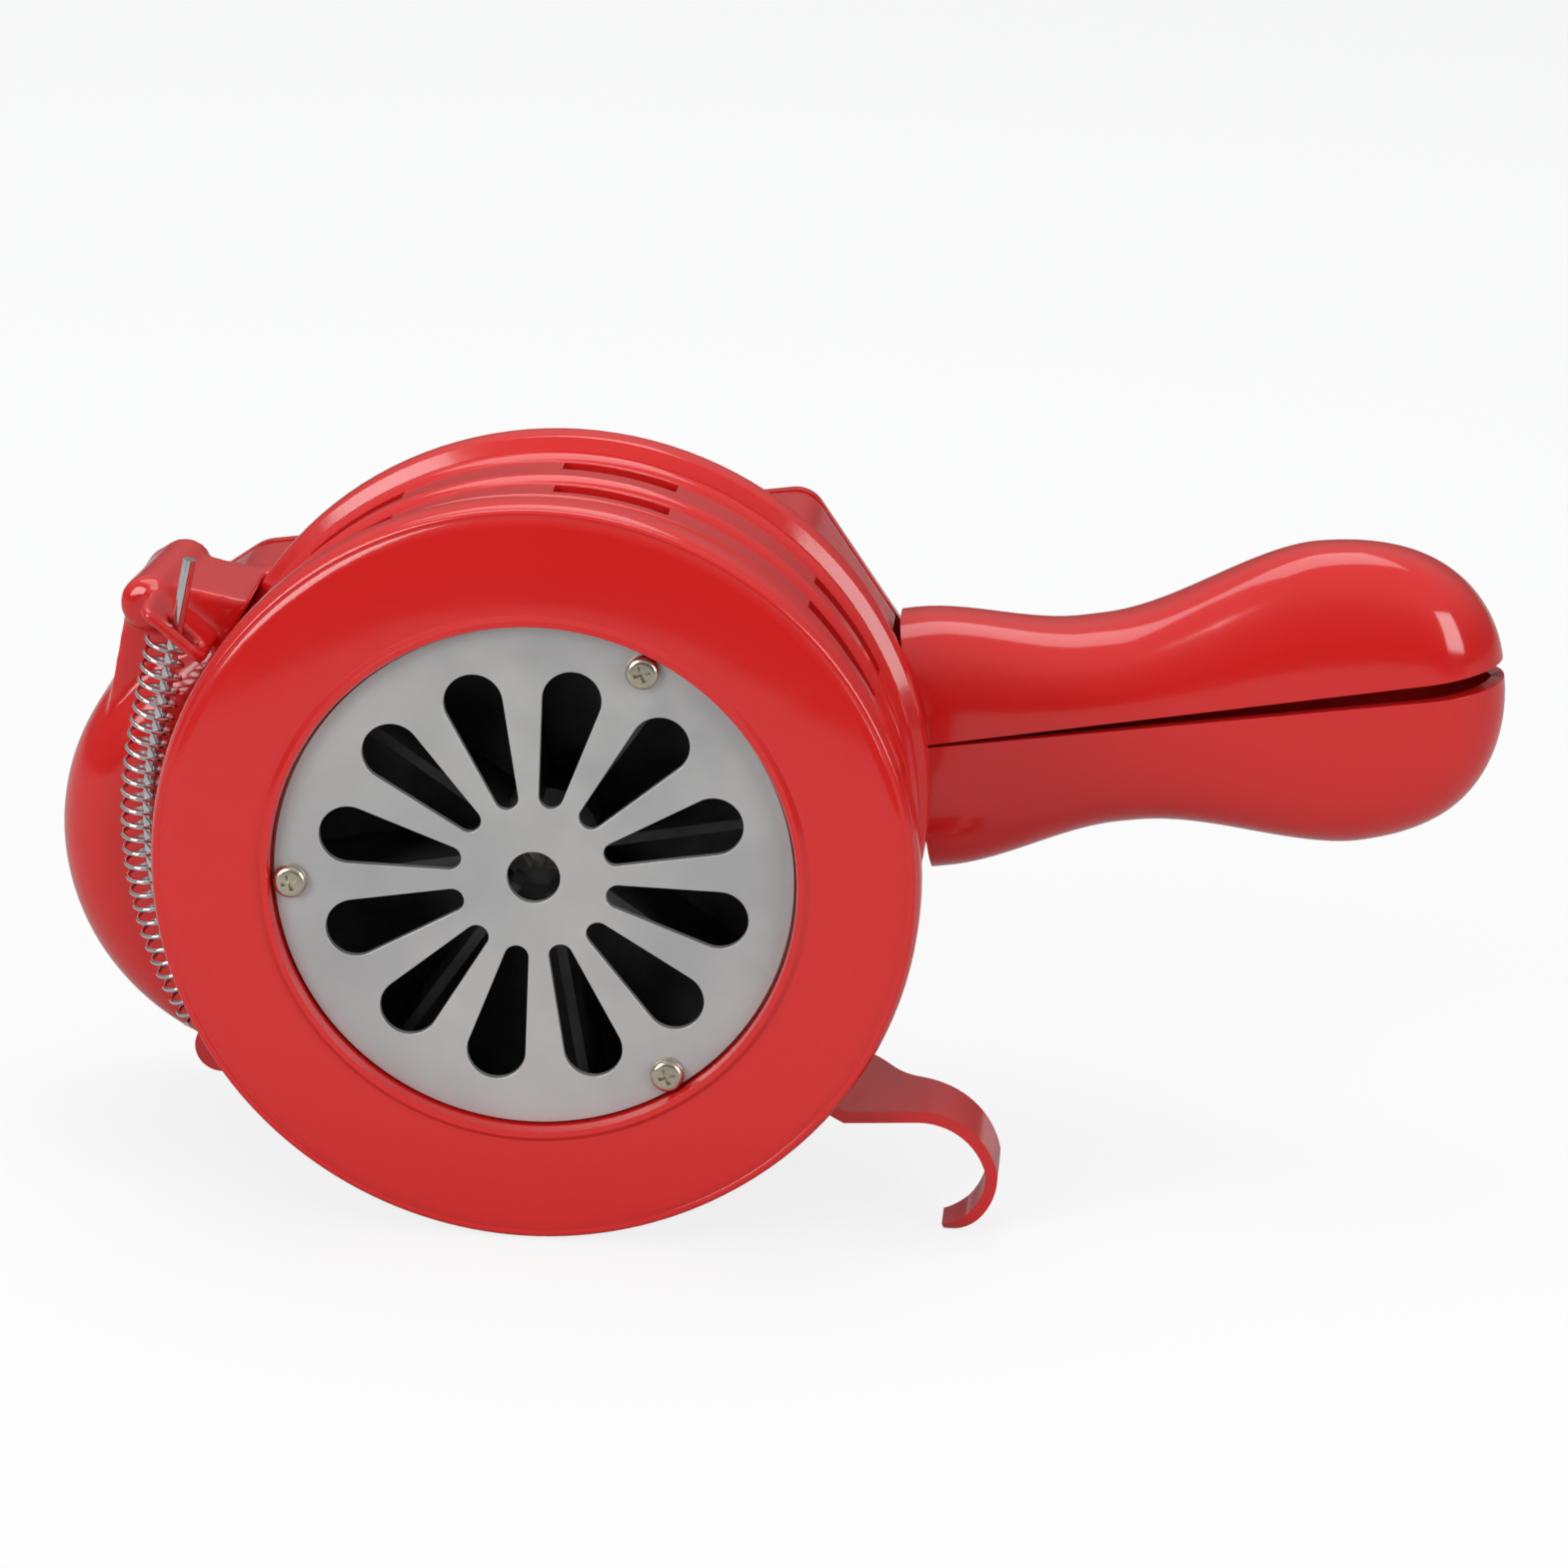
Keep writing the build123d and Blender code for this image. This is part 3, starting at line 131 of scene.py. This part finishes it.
def make_world():
    """White for the camera, and for the object a room that gets paler upwards."""
    world = bpy.data.worlds.new("studio")
    scene.world = world
    world.use_nodes = True
    tree = world.node_tree
    tree.nodes.clear()
    output = tree.nodes.new("ShaderNodeOutputWorld")
    mix = tree.nodes.new("ShaderNodeMixShader")
    seen = tree.nodes.new("ShaderNodeBackground")
    seen.inputs["Color"].default_value = BACKDROP
    seen.inputs["Strength"].default_value = 1.0
    glow = tree.nodes.new("ShaderNodeBackground")
    glow.inputs["Strength"].default_value = GLOW_STRENGTH
    way = tree.nodes.new("ShaderNodeTexCoord")
    parts = tree.nodes.new("ShaderNodeSeparateXYZ")
    ramp = tree.nodes.new("ShaderNodeValToRGB")
    ramp.color_ramp.interpolation = "EASE"
    for element, (height, grey) in zip(ramp.color_ramp.elements, GLOW_STEPS):
        element.position = height
        element.color = (grey, grey, grey, 1.0)
    tree.links.new(way.outputs["Generated"], parts.inputs["Vector"])
    tree.links.new(parts.outputs["Z"], ramp.inputs["Fac"])
    tree.links.new(ramp.outputs["Color"], glow.inputs["Color"])
    path = tree.nodes.new("ShaderNodeLightPath")
    tree.links.new(path.outputs["Is Camera Ray"], mix.inputs["Fac"])
    tree.links.new(glow.outputs["Background"], mix.inputs[1])
    tree.links.new(seen.outputs["Background"], mix.inputs[2])
    tree.links.new(mix.outputs["Shader"], output.inputs["Surface"])


TABLE_EDGE = -0.47         # Y where the pale table ends, as the object sees it
TABLE_FADE = 0.01
TABLE_GREY = 0.5
BEYOND_GREY = 0.06
FLOOR_WHITE = (0.985, 0.99, 0.99, 1.0)
FLOOR_SHADE = (0.9, 0.9, 0.9, 1.0)
FLOOR_GLOW_SHARE = 0.84    # the rest takes the shadow
FLOOR_HALF = 4.0


def floor_material():
    """Seen by the camera as white with a faint shadow, and by the object as a grey table."""
    material = bpy.data.materials.new("floor")
    material.use_nodes = True
    tree = material.node_tree
    tree.nodes.clear()
    output = tree.nodes.new("ShaderNodeOutputMaterial")
    seen = tree.nodes.new("ShaderNodeMixShader")
    matt = tree.nodes.new("ShaderNodeBsdfDiffuse")
    matt.inputs["Color"].default_value = FLOOR_SHADE
    glow = tree.nodes.new("ShaderNodeEmission")
    glow.inputs["Color"].default_value = FLOOR_WHITE
    seen.inputs["Fac"].default_value = FLOOR_GLOW_SHARE
    tree.links.new(matt.outputs["BSDF"], seen.inputs[1])
    tree.links.new(glow.outputs["Emission"], seen.inputs[2])
    dull = tree.nodes.new("ShaderNodeBsdfDiffuse")
    spot = tree.nodes.new("ShaderNodeTexCoord")
    parts = tree.nodes.new("ShaderNodeSeparateXYZ")
    table = tree.nodes.new("ShaderNodeMapRange")
    table.inputs["From Min"].default_value = TABLE_EDGE - TABLE_FADE
    table.inputs["From Max"].default_value = TABLE_EDGE + TABLE_FADE
    table.inputs["To Min"].default_value = BEYOND_GREY
    table.inputs["To Max"].default_value = TABLE_GREY
    tree.links.new(spot.outputs["Object"], parts.inputs["Vector"])
    tree.links.new(parts.outputs["Y"], table.inputs["Value"])
    tree.links.new(table.outputs["Result"], dull.inputs["Color"])
    path = tree.nodes.new("ShaderNodeLightPath")
    mix = tree.nodes.new("ShaderNodeMixShader")
    tree.links.new(path.outputs["Is Camera Ray"], mix.inputs["Fac"])
    tree.links.new(dull.outputs["BSDF"], mix.inputs[1])
    tree.links.new(seen.outputs["Shader"], mix.inputs[2])
    tree.links.new(mix.outputs["Shader"], output.inputs["Surface"])
    return material


def make_floor():
    mesh = bpy.data.meshes.new("floor")
    half = FLOOR_HALF
    corners = [(-half, -half, 0), (half, -half, 0), (half, half, 0), (-half, half, 0)]
    mesh.from_pydata(corners, [], [(0, 1, 2, 3)])
    floor = bpy.data.objects.new("floor", mesh)
    scene.collection.objects.link(floor)
    mesh.materials.append(floor_material())


# ---------------------------------------------------------------- materials
class Shader:
    """Short way to wire one procedural material."""

    def __init__(self, name):
        self.material = bpy.data.materials.new(name)
        self.material.use_nodes = True
        self.tree = self.material.node_tree
        self.main = self.tree.nodes["Principled BSDF"]
        self.place = self.tree.nodes.new("ShaderNodeTexCoord").outputs["Object"]

    def set(self, **values):
        for key, value in values.items():
            self.main.inputs[key.replace("_", " ")].default_value = value

    def noise(self, scale, detail, stretch=None):
        node = self.tree.nodes.new("ShaderNodeTexNoise")
        node.inputs["Scale"].default_value = scale
        node.inputs["Detail"].default_value = detail
        start = self.place
        if stretch:
            warp = self.tree.nodes.new("ShaderNodeMapping")
            warp.inputs["Scale"].default_value = stretch
            self.tree.links.new(start, warp.inputs["Vector"])
            start = warp.outputs["Vector"]
        self.tree.links.new(start, node.inputs["Vector"])
        return node.outputs["Fac"]

    def ramp(self, source, low, high, start=0.25, end=0.75):
        """Runs between two values or colours as the source runs between two marks."""
        node = self.tree.nodes.new("ShaderNodeValToRGB")
        node.color_ramp.interpolation = "EASE"
        node.color_ramp.elements[0].position = start
        node.color_ramp.elements[1].position = end
        for element, value in zip(node.color_ramp.elements, (low, high)):
            colour = value if isinstance(value, tuple) else (value, value, value)
            element.color = (*colour, 1.0)
        self.tree.links.new(source, node.inputs["Fac"])
        return node.outputs["Color"]

    def link(self, source, key):
        self.tree.links.new(source, self.main.inputs[key])

    def bump(self, source, strength, distance):
        node = self.tree.nodes.new("ShaderNodeBump")
        node.inputs["Strength"].default_value = strength
        node.inputs["Distance"].default_value = distance
        self.tree.links.new(source, node.inputs["Height"])
        self.tree.links.new(node.outputs["Normal"], self.main.inputs["Normal"])


def enamel(name, deep, bright, peel):
    """Thick gloss paint over a casting, with a slight orange peel."""
    s = Shader(name)
    s.set(Coat_Weight=0.35, Coat_Roughness=0.06, IOR=1.5)
    s.link(s.ramp(s.noise(14.0, 4.0), deep, bright), "Base Color")
    s.link(s.ramp(s.noise(55.0, 3.0), 0.12, 0.17), "Roughness")
    s.bump(s.noise(70.0, 4.0), peel, 0.00035)
    return s.material


def grille_metal():
    """Punched aluminium sheet, satin, with faint stains and fine scratches."""
    s = Shader("grille_metal")
    s.set(Metallic=0.65, Specular_IOR_Level=0.5)
    s.link(s.ramp(s.noise(38.0, 8.0), (0.50, 0.50, 0.505), (0.62, 0.62, 0.61)), "Base Color")
    s.link(s.ramp(s.noise(120.0, 6.0), 0.36, 0.52), "Roughness")
    s.bump(s.noise(900.0, 3.0, (1.0, 1.0, 12.0)), 0.12, 0.0002)
    return s.material


def plain_metal(name, low, high, rough):
    """Bare or plated metal with small changes of tone and polish."""
    s = Shader(name)
    s.set(Metallic=1.0)
    s.link(s.ramp(s.noise(300.0, 4.0), low, high), "Base Color")
    s.link(s.ramp(s.noise(600.0, 3.0), rough * 0.8, rough * 1.3), "Roughness")
    s.bump(s.noise(1500.0, 2.0), 0.08, 0.0001)
    return s.material


def painted_shade_rotor():
    """Dull metal of the rotor, nearly black: the dark tone is painted shade for the shadowed
    inside of the drum.
    """
    s = Shader("painted_shade_rotor")
    s.set(Metallic=0.35)
    s.link(s.ramp(s.noise(60.0, 5.0), (0.02, 0.02, 0.021), (0.09, 0.09, 0.093)), "Base Color")
    s.link(s.ramp(s.noise(90.0, 4.0), 0.3, 0.55), "Roughness")
    s.bump(s.noise(500.0, 3.0), 0.15, 0.0003)
    return s.material


def make_materials():
    """Materials by the slots of the CAD record, and one more for the rod and the spring."""
    return {
        "red_casting": enamel("red_enamel", (0.640, 0.0135, 0.0125),
                              (0.660, 0.0155, 0.014), 0.35),
        "red_steel": enamel("red_enamel_strip", (0.52, 0.011, 0.011),
                            (0.58, 0.014, 0.013), 0.25),
        "grille": grille_metal(),
        # the rotor's near-black colour is painted shade for the drum's dark inside
        "rotor": painted_shade_rotor(),
        "steel": plain_metal("turned_steel", (0.42, 0.42, 0.43), (0.58, 0.58, 0.59), 0.28),
        "zinc": plain_metal("zinc_plate", (0.50, 0.46, 0.36), (0.66, 0.61, 0.49), 0.22),
        "chrome": plain_metal("bright_rod", (0.62, 0.62, 0.63), (0.78, 0.78, 0.79), 0.12),
        "bronze": plain_metal("bronze", (0.45, 0.28, 0.12), (0.60, 0.40, 0.18), 0.3),
    }


# ---------------------------------------------------------------- surfaces
MERGE_DISTANCE = 2e-6
JOIN_DISTANCE = 1e-6
FLAT_DISTANCE = 1e-7
SHARP_ANGLE = 32
BEVEL_ANGLE = 38
CAST_CELL = 0.75
CAST_SMOOTHING = 9

# Width of the round on each piece's edges, in millimetres
EDGE_WIDTHS = {
    "drum_casting": 0.45, "gear_cover": 0.5, "shutter_band": 0.35, "grille_plate": 0.15,
    "rotor": 0.25, "grille_screws": 0.12, "crank_nut": 0.3,
}
SHELL_EDGE = 0.5
EAR_EDGE = 0.4


def smoothing_group():
    """Joins the mesh's split points, shades it smooth and keeps its real edges sharp."""
    group = bpy.data.node_groups.new("smooth_by_angle", "GeometryNodeTree")
    group.interface.new_socket("Geometry", in_out="INPUT", socket_type="NodeSocketGeometry")
    group.interface.new_socket("Geometry", in_out="OUTPUT", socket_type="NodeSocketGeometry")
    start = group.nodes.new("NodeGroupInput")
    end = group.nodes.new("NodeGroupOutput")
    merge = group.nodes.new("GeometryNodeMergeByDistance")
    merge.inputs["Distance"].default_value = MERGE_DISTANCE
    faces = group.nodes.new("GeometryNodeSetShadeSmooth")
    faces.domain = "FACE"
    faces.inputs["Shade Smooth"].default_value = True
    edges = group.nodes.new("GeometryNodeSetShadeSmooth")
    edges.domain = "EDGE"
    edges.inputs["Shade Smooth"].default_value = False
    angle = group.nodes.new("GeometryNodeInputMeshEdgeAngle")
    over = group.nodes.new("FunctionNodeCompare")
    over.data_type = "FLOAT"
    over.operation = "GREATER_THAN"
    over.inputs["B"].default_value = math.radians(SHARP_ANGLE)
    link = group.links.new
    link(start.outputs[0], merge.inputs["Geometry"])
    link(merge.outputs["Geometry"], faces.inputs["Geometry"])
    link(faces.outputs["Geometry"], edges.inputs["Geometry"])
    link(angle.outputs["Unsigned Angle"], over.inputs["A"])
    link(over.outputs["Result"], edges.inputs["Selection"])
    link(edges.outputs["Geometry"], end.inputs[0])
    return group


def cast_look(node):
    """Rounds the edges and inner corners of a casting all over, as a sand mould leaves them."""
    cells = node.modifiers.new("cells", "REMESH")
    cells.mode = "VOXEL"
    cells.voxel_size = CAST_CELL * MM
    cells.use_smooth_shade = True
    calm = node.modifiers.new("calm", "SMOOTH")
    calm.factor = 0.5
    calm.iterations = CAST_SMOOTHING


BEAD_RING_R = 64.9
BEAD_Y = -0.9
BEAD_R = 1.0
BEAD_TURNS = 180
BEAD_STEPS = 12


def flange_bead(material):
    """Low round bead near the outer edge of the drum's front."""
    count = BEAD_TURNS * BEAD_STEPS
    points = []
    faces = []
    for i in range(BEAD_TURNS):
        turn = 2 * math.pi * i / BEAD_TURNS
        for j in range(BEAD_STEPS):
            roll = 2 * math.pi * j / BEAD_STEPS
            far = BEAD_RING_R + BEAD_R * math.cos(roll)
            points.append(place(far * math.cos(turn), BEAD_Y + BEAD_R * math.sin(roll),
                                far * math.sin(turn)))
            a = i * BEAD_STEPS + j
            b = i * BEAD_STEPS + (j + 1) % BEAD_STEPS
            c = (a + BEAD_STEPS) % count
            d = (b + BEAD_STEPS) % count
            faces.append((a, b, d, c))
    bead = add_piece("flange_bead", points, faces, material, "housing")
    fix_normals(bead)
    for face in bead.data.polygons:
        face.use_smooth = True


def finish_surfaces(materials, group):
    """Gives each CAD piece its material and its edges."""
    slots = {entry["node"]: entry["material_slot"] for entry in frame["record"]["subparts"]}
    slots["guide_rod"] = "chrome"
    for name, node in nodes.items():
        node.data.materials.clear()
        node.data.materials.append(materials[slots[name]])
        width = EDGE_WIDTHS.get(name)
        if name == "gear_case":
            cast_look(node)
        elif width:
            soften(node, group, width)
        else:
            node.modifiers.new("smooth", "NODES").node_group = group


# ---------------------------------------------------------------- spring
ROD_ARC_R = 71.0
ROD_BEND = 170.0
LUG_ANGLE = -143.5
LUG_R = 4.8
TAB_Z = 33.0
ROD_Y = 25.0
SPRING_R = 3.5
SPRING_WIRE_R = 0.42
SPRING_TURNS = 28
SPRING_OFFSET = 1.3
SPRING_END_GAP = 0.3
SPRING_TAB_ROOM = 2.3
SPRING_TURN_STEPS = 20


def rod_line(length):
    """Point and direction of the guide rod's centre line at a length from its lug."""
    arc = math.radians(LUG_ANGLE + 360 - ROD_BEND) * ROD_ARC_R
    if length < arc:
        turn = math.radians(LUG_ANGLE) - length / ROD_ARC_R
        point = (ROD_ARC_R * math.cos(turn), ROD_ARC_R * math.sin(turn))
        return point, (math.sin(turn), -math.cos(turn))
    turn = math.radians(ROD_BEND)
    way = (math.sin(turn), -math.cos(turn))
    rest = length - arc
    start = (ROD_ARC_R * math.cos(turn), ROD_ARC_R * math.sin(turn))
    return (start[0] + way[0] * rest, start[1] + way[1] * rest), way


def make_spring(material):
    """Coil around the guide rod, held by the tab and pushed along the rod's curve by the lug."""
    arc = math.radians(LUG_ANGLE + 360 - ROD_BEND) * ROD_ARC_R
    turn = math.radians(ROD_BEND)
    straight = (TAB_Z - ROD_ARC_R * math.sin(turn)) / -math.cos(turn)
    first = LUG_R + SPRING_END_GAP + SPRING_WIRE_R
    last = arc + straight - SPRING_TAB_ROOM
    curve = bpy.data.curves.new("coil", "CURVE")
    curve.dimensions = "3D"
    curve.bevel_depth = SPRING_WIRE_R * MM
    curve.bevel_resolution = 3
    curve.use_fill_caps = True
    count = SPRING_TURNS * SPRING_TURN_STEPS
    line = curve.splines.new("POLY")
    line.points.add(count)
    for i in range(count + 1):
        (x, z), (dx, dz) = rod_line(first + (last - first) * i / count)
        swing = 2 * math.pi * SPRING_TURNS * i / count
        out = SPRING_OFFSET + SPRING_R * math.cos(swing)
        depth = SPRING_R * math.sin(swing)
        point = place(x - dz * out, ROD_Y + depth, z + dx * out)
        line.points[i].co = (*point, 1.0)
    carrier = bpy.data.objects.new("coil", curve)
    scene.collection.objects.link(carrier)
    mesh = bpy.data.meshes.new_from_object(carrier)
    bpy.data.objects.remove(carrier)
    spring = bpy.data.objects.new("coil_spring", mesh)
    scene.collection.objects.link(spring)
    mesh.materials.clear()
    mesh.materials.append(material)
    for face in mesh.polygons:
        face.use_smooth = True
    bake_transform(spring)
    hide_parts("return_spring")


# ---------------------------------------------------------------- handle
HANDLE_X = 62.0            # root of both halves on the parting line
HANDLE_Z = 9.6
HANDLE_LENGTH = 106.0
HANDLE_Y = 68.3
HANDLE_HALF_WIDTH = 13.0
HANDLE_WALL = 2.2
SECTION_POWER = 2.6        # squareness of the rounded section
TIP_ROUND = 14.0           # length over which the tip gets narrower, seen from above
NOSE_START = 70.0
STATIONS = 72
SECTION_STEPS = 36
STATION_POWER = 1.6        # sets the stations closer together towards the tip
HINGE_AT = 5.0
HINGE_Y = 88.0
KNUCKLE_R = 4.5
HINGE_PIN_R = 2.0
EAR_THICK = 4.0
EAR_STARTS = (0.7, 17.3)
EAR_REACH = 12.7
EAR_STEPS = 48
NEARLY_ZERO = 1e-6

# Tilt of the parting line in degrees, drop of the root below it, side of it that the half lies
# on, heights of collar, waist and crown, the lengths between which the half falls to the waist
# and rises to the crown, and the power of the nose's curve
FIXED_HALF = {
    "tilt": 10.5, "drop": 0.0, "side": 1, "collar": 21.5, "waist": 16.1, "crown": 24.9,
    "fall": (2.0, 32.0), "rise": (36.0, 76.0), "nose": 2.6,
}
FOLDING_HALF = {
    "tilt": 8.9, "drop": 0.5, "side": -1, "collar": 25.8, "waist": 20.2, "crown": 28.2,
    "fall": (3.0, 35.0), "rise": (38.0, 78.0), "nose": 3.0,
}


def ease(value, span):
    """Smooth step from 0 to 1 over a span."""
    share = min(1.0, max(0.0, (value - span[0]) / (span[1] - span[0])))
    return share * share * (3 - 2 * share)


def half_height(half, along, end):
    """Height of a handle half above its parting line."""
    height = half["collar"] + (half["waist"] - half["collar"]) * ease(along, half["fall"])
    height += (half["crown"] - half["waist"]) * ease(along, half["rise"])
    beyond = max(0.0, (along - NOSE_START) / (end - NOSE_START))
    return height * math.sqrt(max(0.0, 1 - beyond ** half["nose"]))


def half_width(along, end):
    """Half of the handle's width, less towards the tip."""
    beyond = max(0.0, (along - end + TIP_ROUND) / TIP_ROUND)
    return HANDLE_HALF_WIDTH * math.sqrt(max(0.0, 1 - beyond * beyond))


def half_place(half, along, depth, rise):
    """Place of a point of a handle half, from its length, depth and height."""
    turn = math.radians(half["tilt"])
    up = half["side"] * rise
    x = HANDLE_X + along * math.cos(turn) - up * math.sin(turn)
    z = HANDLE_Z - half["drop"] + along * math.sin(turn) + up * math.cos(turn)
    return place(x, HANDLE_Y + depth, z)


def shell_skin(half, start, end, wall):
    """Grid of points over one skin of a half, from its root to its tip."""
    rows = []
    for i in range(STATIONS + 1):
        along = start + (end - start) * (1 - (1 - i / STATIONS) ** STATION_POWER)
        height = max(0.0, half_height(half, along, end) - wall)
        width = max(0.0, half_width(along, end) - wall)
        if i == STATIONS:
            height = width = 0.0
        row = []
        for j in range(SECTION_STEPS + 1):
            turn = math.pi * j / SECTION_STEPS
            across = math.copysign(abs(math.cos(turn)) ** (2 / SECTION_POWER), math.cos(turn))
            rise = abs(math.sin(turn)) ** (2 / SECTION_POWER)
            row.append(half_place(half, along, across * width, rise * height))
        rows.append(row)
    return rows


def grid_faces(first, stations, steps, flip):
    """Quads over a grid of points that starts at an index."""
    faces = []
    for i in range(stations):
        for j in range(steps):
            a = first + i * (steps + 1) + j
            quad = (a, a + 1, a + steps + 2, a + steps + 1)
            faces.append(quad[::-1] if flip else quad)
    return faces


def add_piece(name, points, faces, material, body):
    """A new visible piece that moves with a body."""
    mesh = bpy.data.meshes.new(name)
    mesh.from_pydata(points, [], faces)
    mesh.validate()
    mesh.update()
    piece = bpy.data.objects.new(name, mesh)
    scene.collection.objects.link(piece)
    mesh.materials.append(material)
    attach(piece, body)
    return piece


def handle_half(name, half, node, body, material, group):
    """Hollow half of the handle, with rounded sections and an open parting face."""
    outer = shell_skin(half, 0.0, HANDLE_LENGTH, 0.0)
    inner = shell_skin(half, HANDLE_WALL, HANDLE_LENGTH - HANDLE_WALL, HANDLE_WALL)
    points = [point for row in outer + inner for point in row]
    row = SECTION_STEPS + 1
    shift = (STATIONS + 1) * row
    faces = grid_faces(0, STATIONS, SECTION_STEPS, False)
    faces += grid_faces(shift, STATIONS, SECTION_STEPS, True)
    for i in range(STATIONS):
        a = i * row
        faces.append((a, a + row, shift + a + row, shift + a))
        b = a + SECTION_STEPS
        faces.append((b + row, b, shift + b, shift + b + row))
    faces.append(tuple(range(SECTION_STEPS, -1, -1)))
    faces.append(tuple(range(shift, shift + row)))
    faces.append((0, shift, shift + SECTION_STEPS, SECTION_STEPS))
    piece = add_piece(name, points, faces, material, body)
    fix_normals(piece)
    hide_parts(node)
    soften(piece, group, SHELL_EDGE)


def fix_normals(piece):
    """Joins points that lie together, drops flat faces and turns every face outwards."""
    solid = bmesh.new()
    solid.from_mesh(piece.data)
    bmesh.ops.remove_doubles(solid, verts=solid.verts, dist=JOIN_DISTANCE)
    bmesh.ops.dissolve_degenerate(solid, edges=solid.edges, dist=FLAT_DISTANCE)
    bmesh.ops.recalc_face_normals(solid, faces=solid.faces)
    solid.to_mesh(piece.data)
    solid.free()


def soften(piece, group, width):
    """Smooth shading with sharp edges kept, and a small round on them."""
    smooth = piece.modifiers.new("smooth", "NODES")
    smooth.node_group = group
    bevel = piece.modifiers.new("edges", "BEVEL")
    bevel.width = width * MM
    bevel.segments = 2
    bevel.limit_method = "ANGLE"
    bevel.angle_limit = math.radians(BEVEL_ANGLE)
    bevel.harden_normals = True


def ear_outline(share):
    """Outer and inner point of a hinge ear at a share of the way round the pin."""
    turn = 2 * math.pi * share
    across, back = math.cos(turn), math.sin(turn)
    inner = (HINGE_PIN_R * across, HINGE_PIN_R * back)
    if back >= -NEARLY_ZERO:
        return (KNUCKLE_R * across, KNUCKLE_R * back), inner
    grow = EAR_REACH / (KNUCKLE_R * -back)
    if abs(across) > NEARLY_ZERO:
        grow = min(1 / abs(across), grow)
    return (KNUCKLE_R * across * grow, KNUCKLE_R * back * grow), inner


def hinge_ears(material, group):
    """The two ears of the folding half that hold the hinge pin."""
    steps = EAR_STEPS
    points = []
    faces = []
    for start in EAR_STARTS:
        base = len(points)
        for drop in (start, start + EAR_THICK):
            for k in range(steps):
                for across, back in ear_outline(k / steps):
                    depth = HINGE_Y - HANDLE_Y + back
                    points.append(half_place(FOLDING_HALF, HINGE_AT + across, depth, drop))
        for k in range(steps):
            a, b = base + 2 * k, base + 2 * ((k + 1) % steps)
            c, d = a + 2 * steps, b + 2 * steps
            faces += [(a, b, b + 1, a + 1), (d, c, c + 1, d + 1)]
            faces += [(b, a, c, d), (a + 1, b + 1, d + 1, c + 1)]
    ears = add_piece("hinge_ears", points, faces, material, "grip")
    fix_normals(ears)
    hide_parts("folding_grip")
    soften(ears, group, EAR_EDGE)


make_camera()
for light_row in LIGHTS:
    area_light(*light_row)
make_world()
make_floor()
finishes = make_materials()
smoothing = smoothing_group()
finish_surfaces(finishes, smoothing)
make_spring(finishes["chrome"])
handle_half("fixed_handle_shell", FIXED_HALF, "fixed_handle", "housing",
            finishes["red_casting"], smoothing)
handle_half("folding_grip_shell", FOLDING_HALF, "folding_grip", "grip",
            finishes["red_casting"], smoothing)
hinge_ears(finishes["red_casting"], smoothing)
flange_bead(finishes["red_casting"])
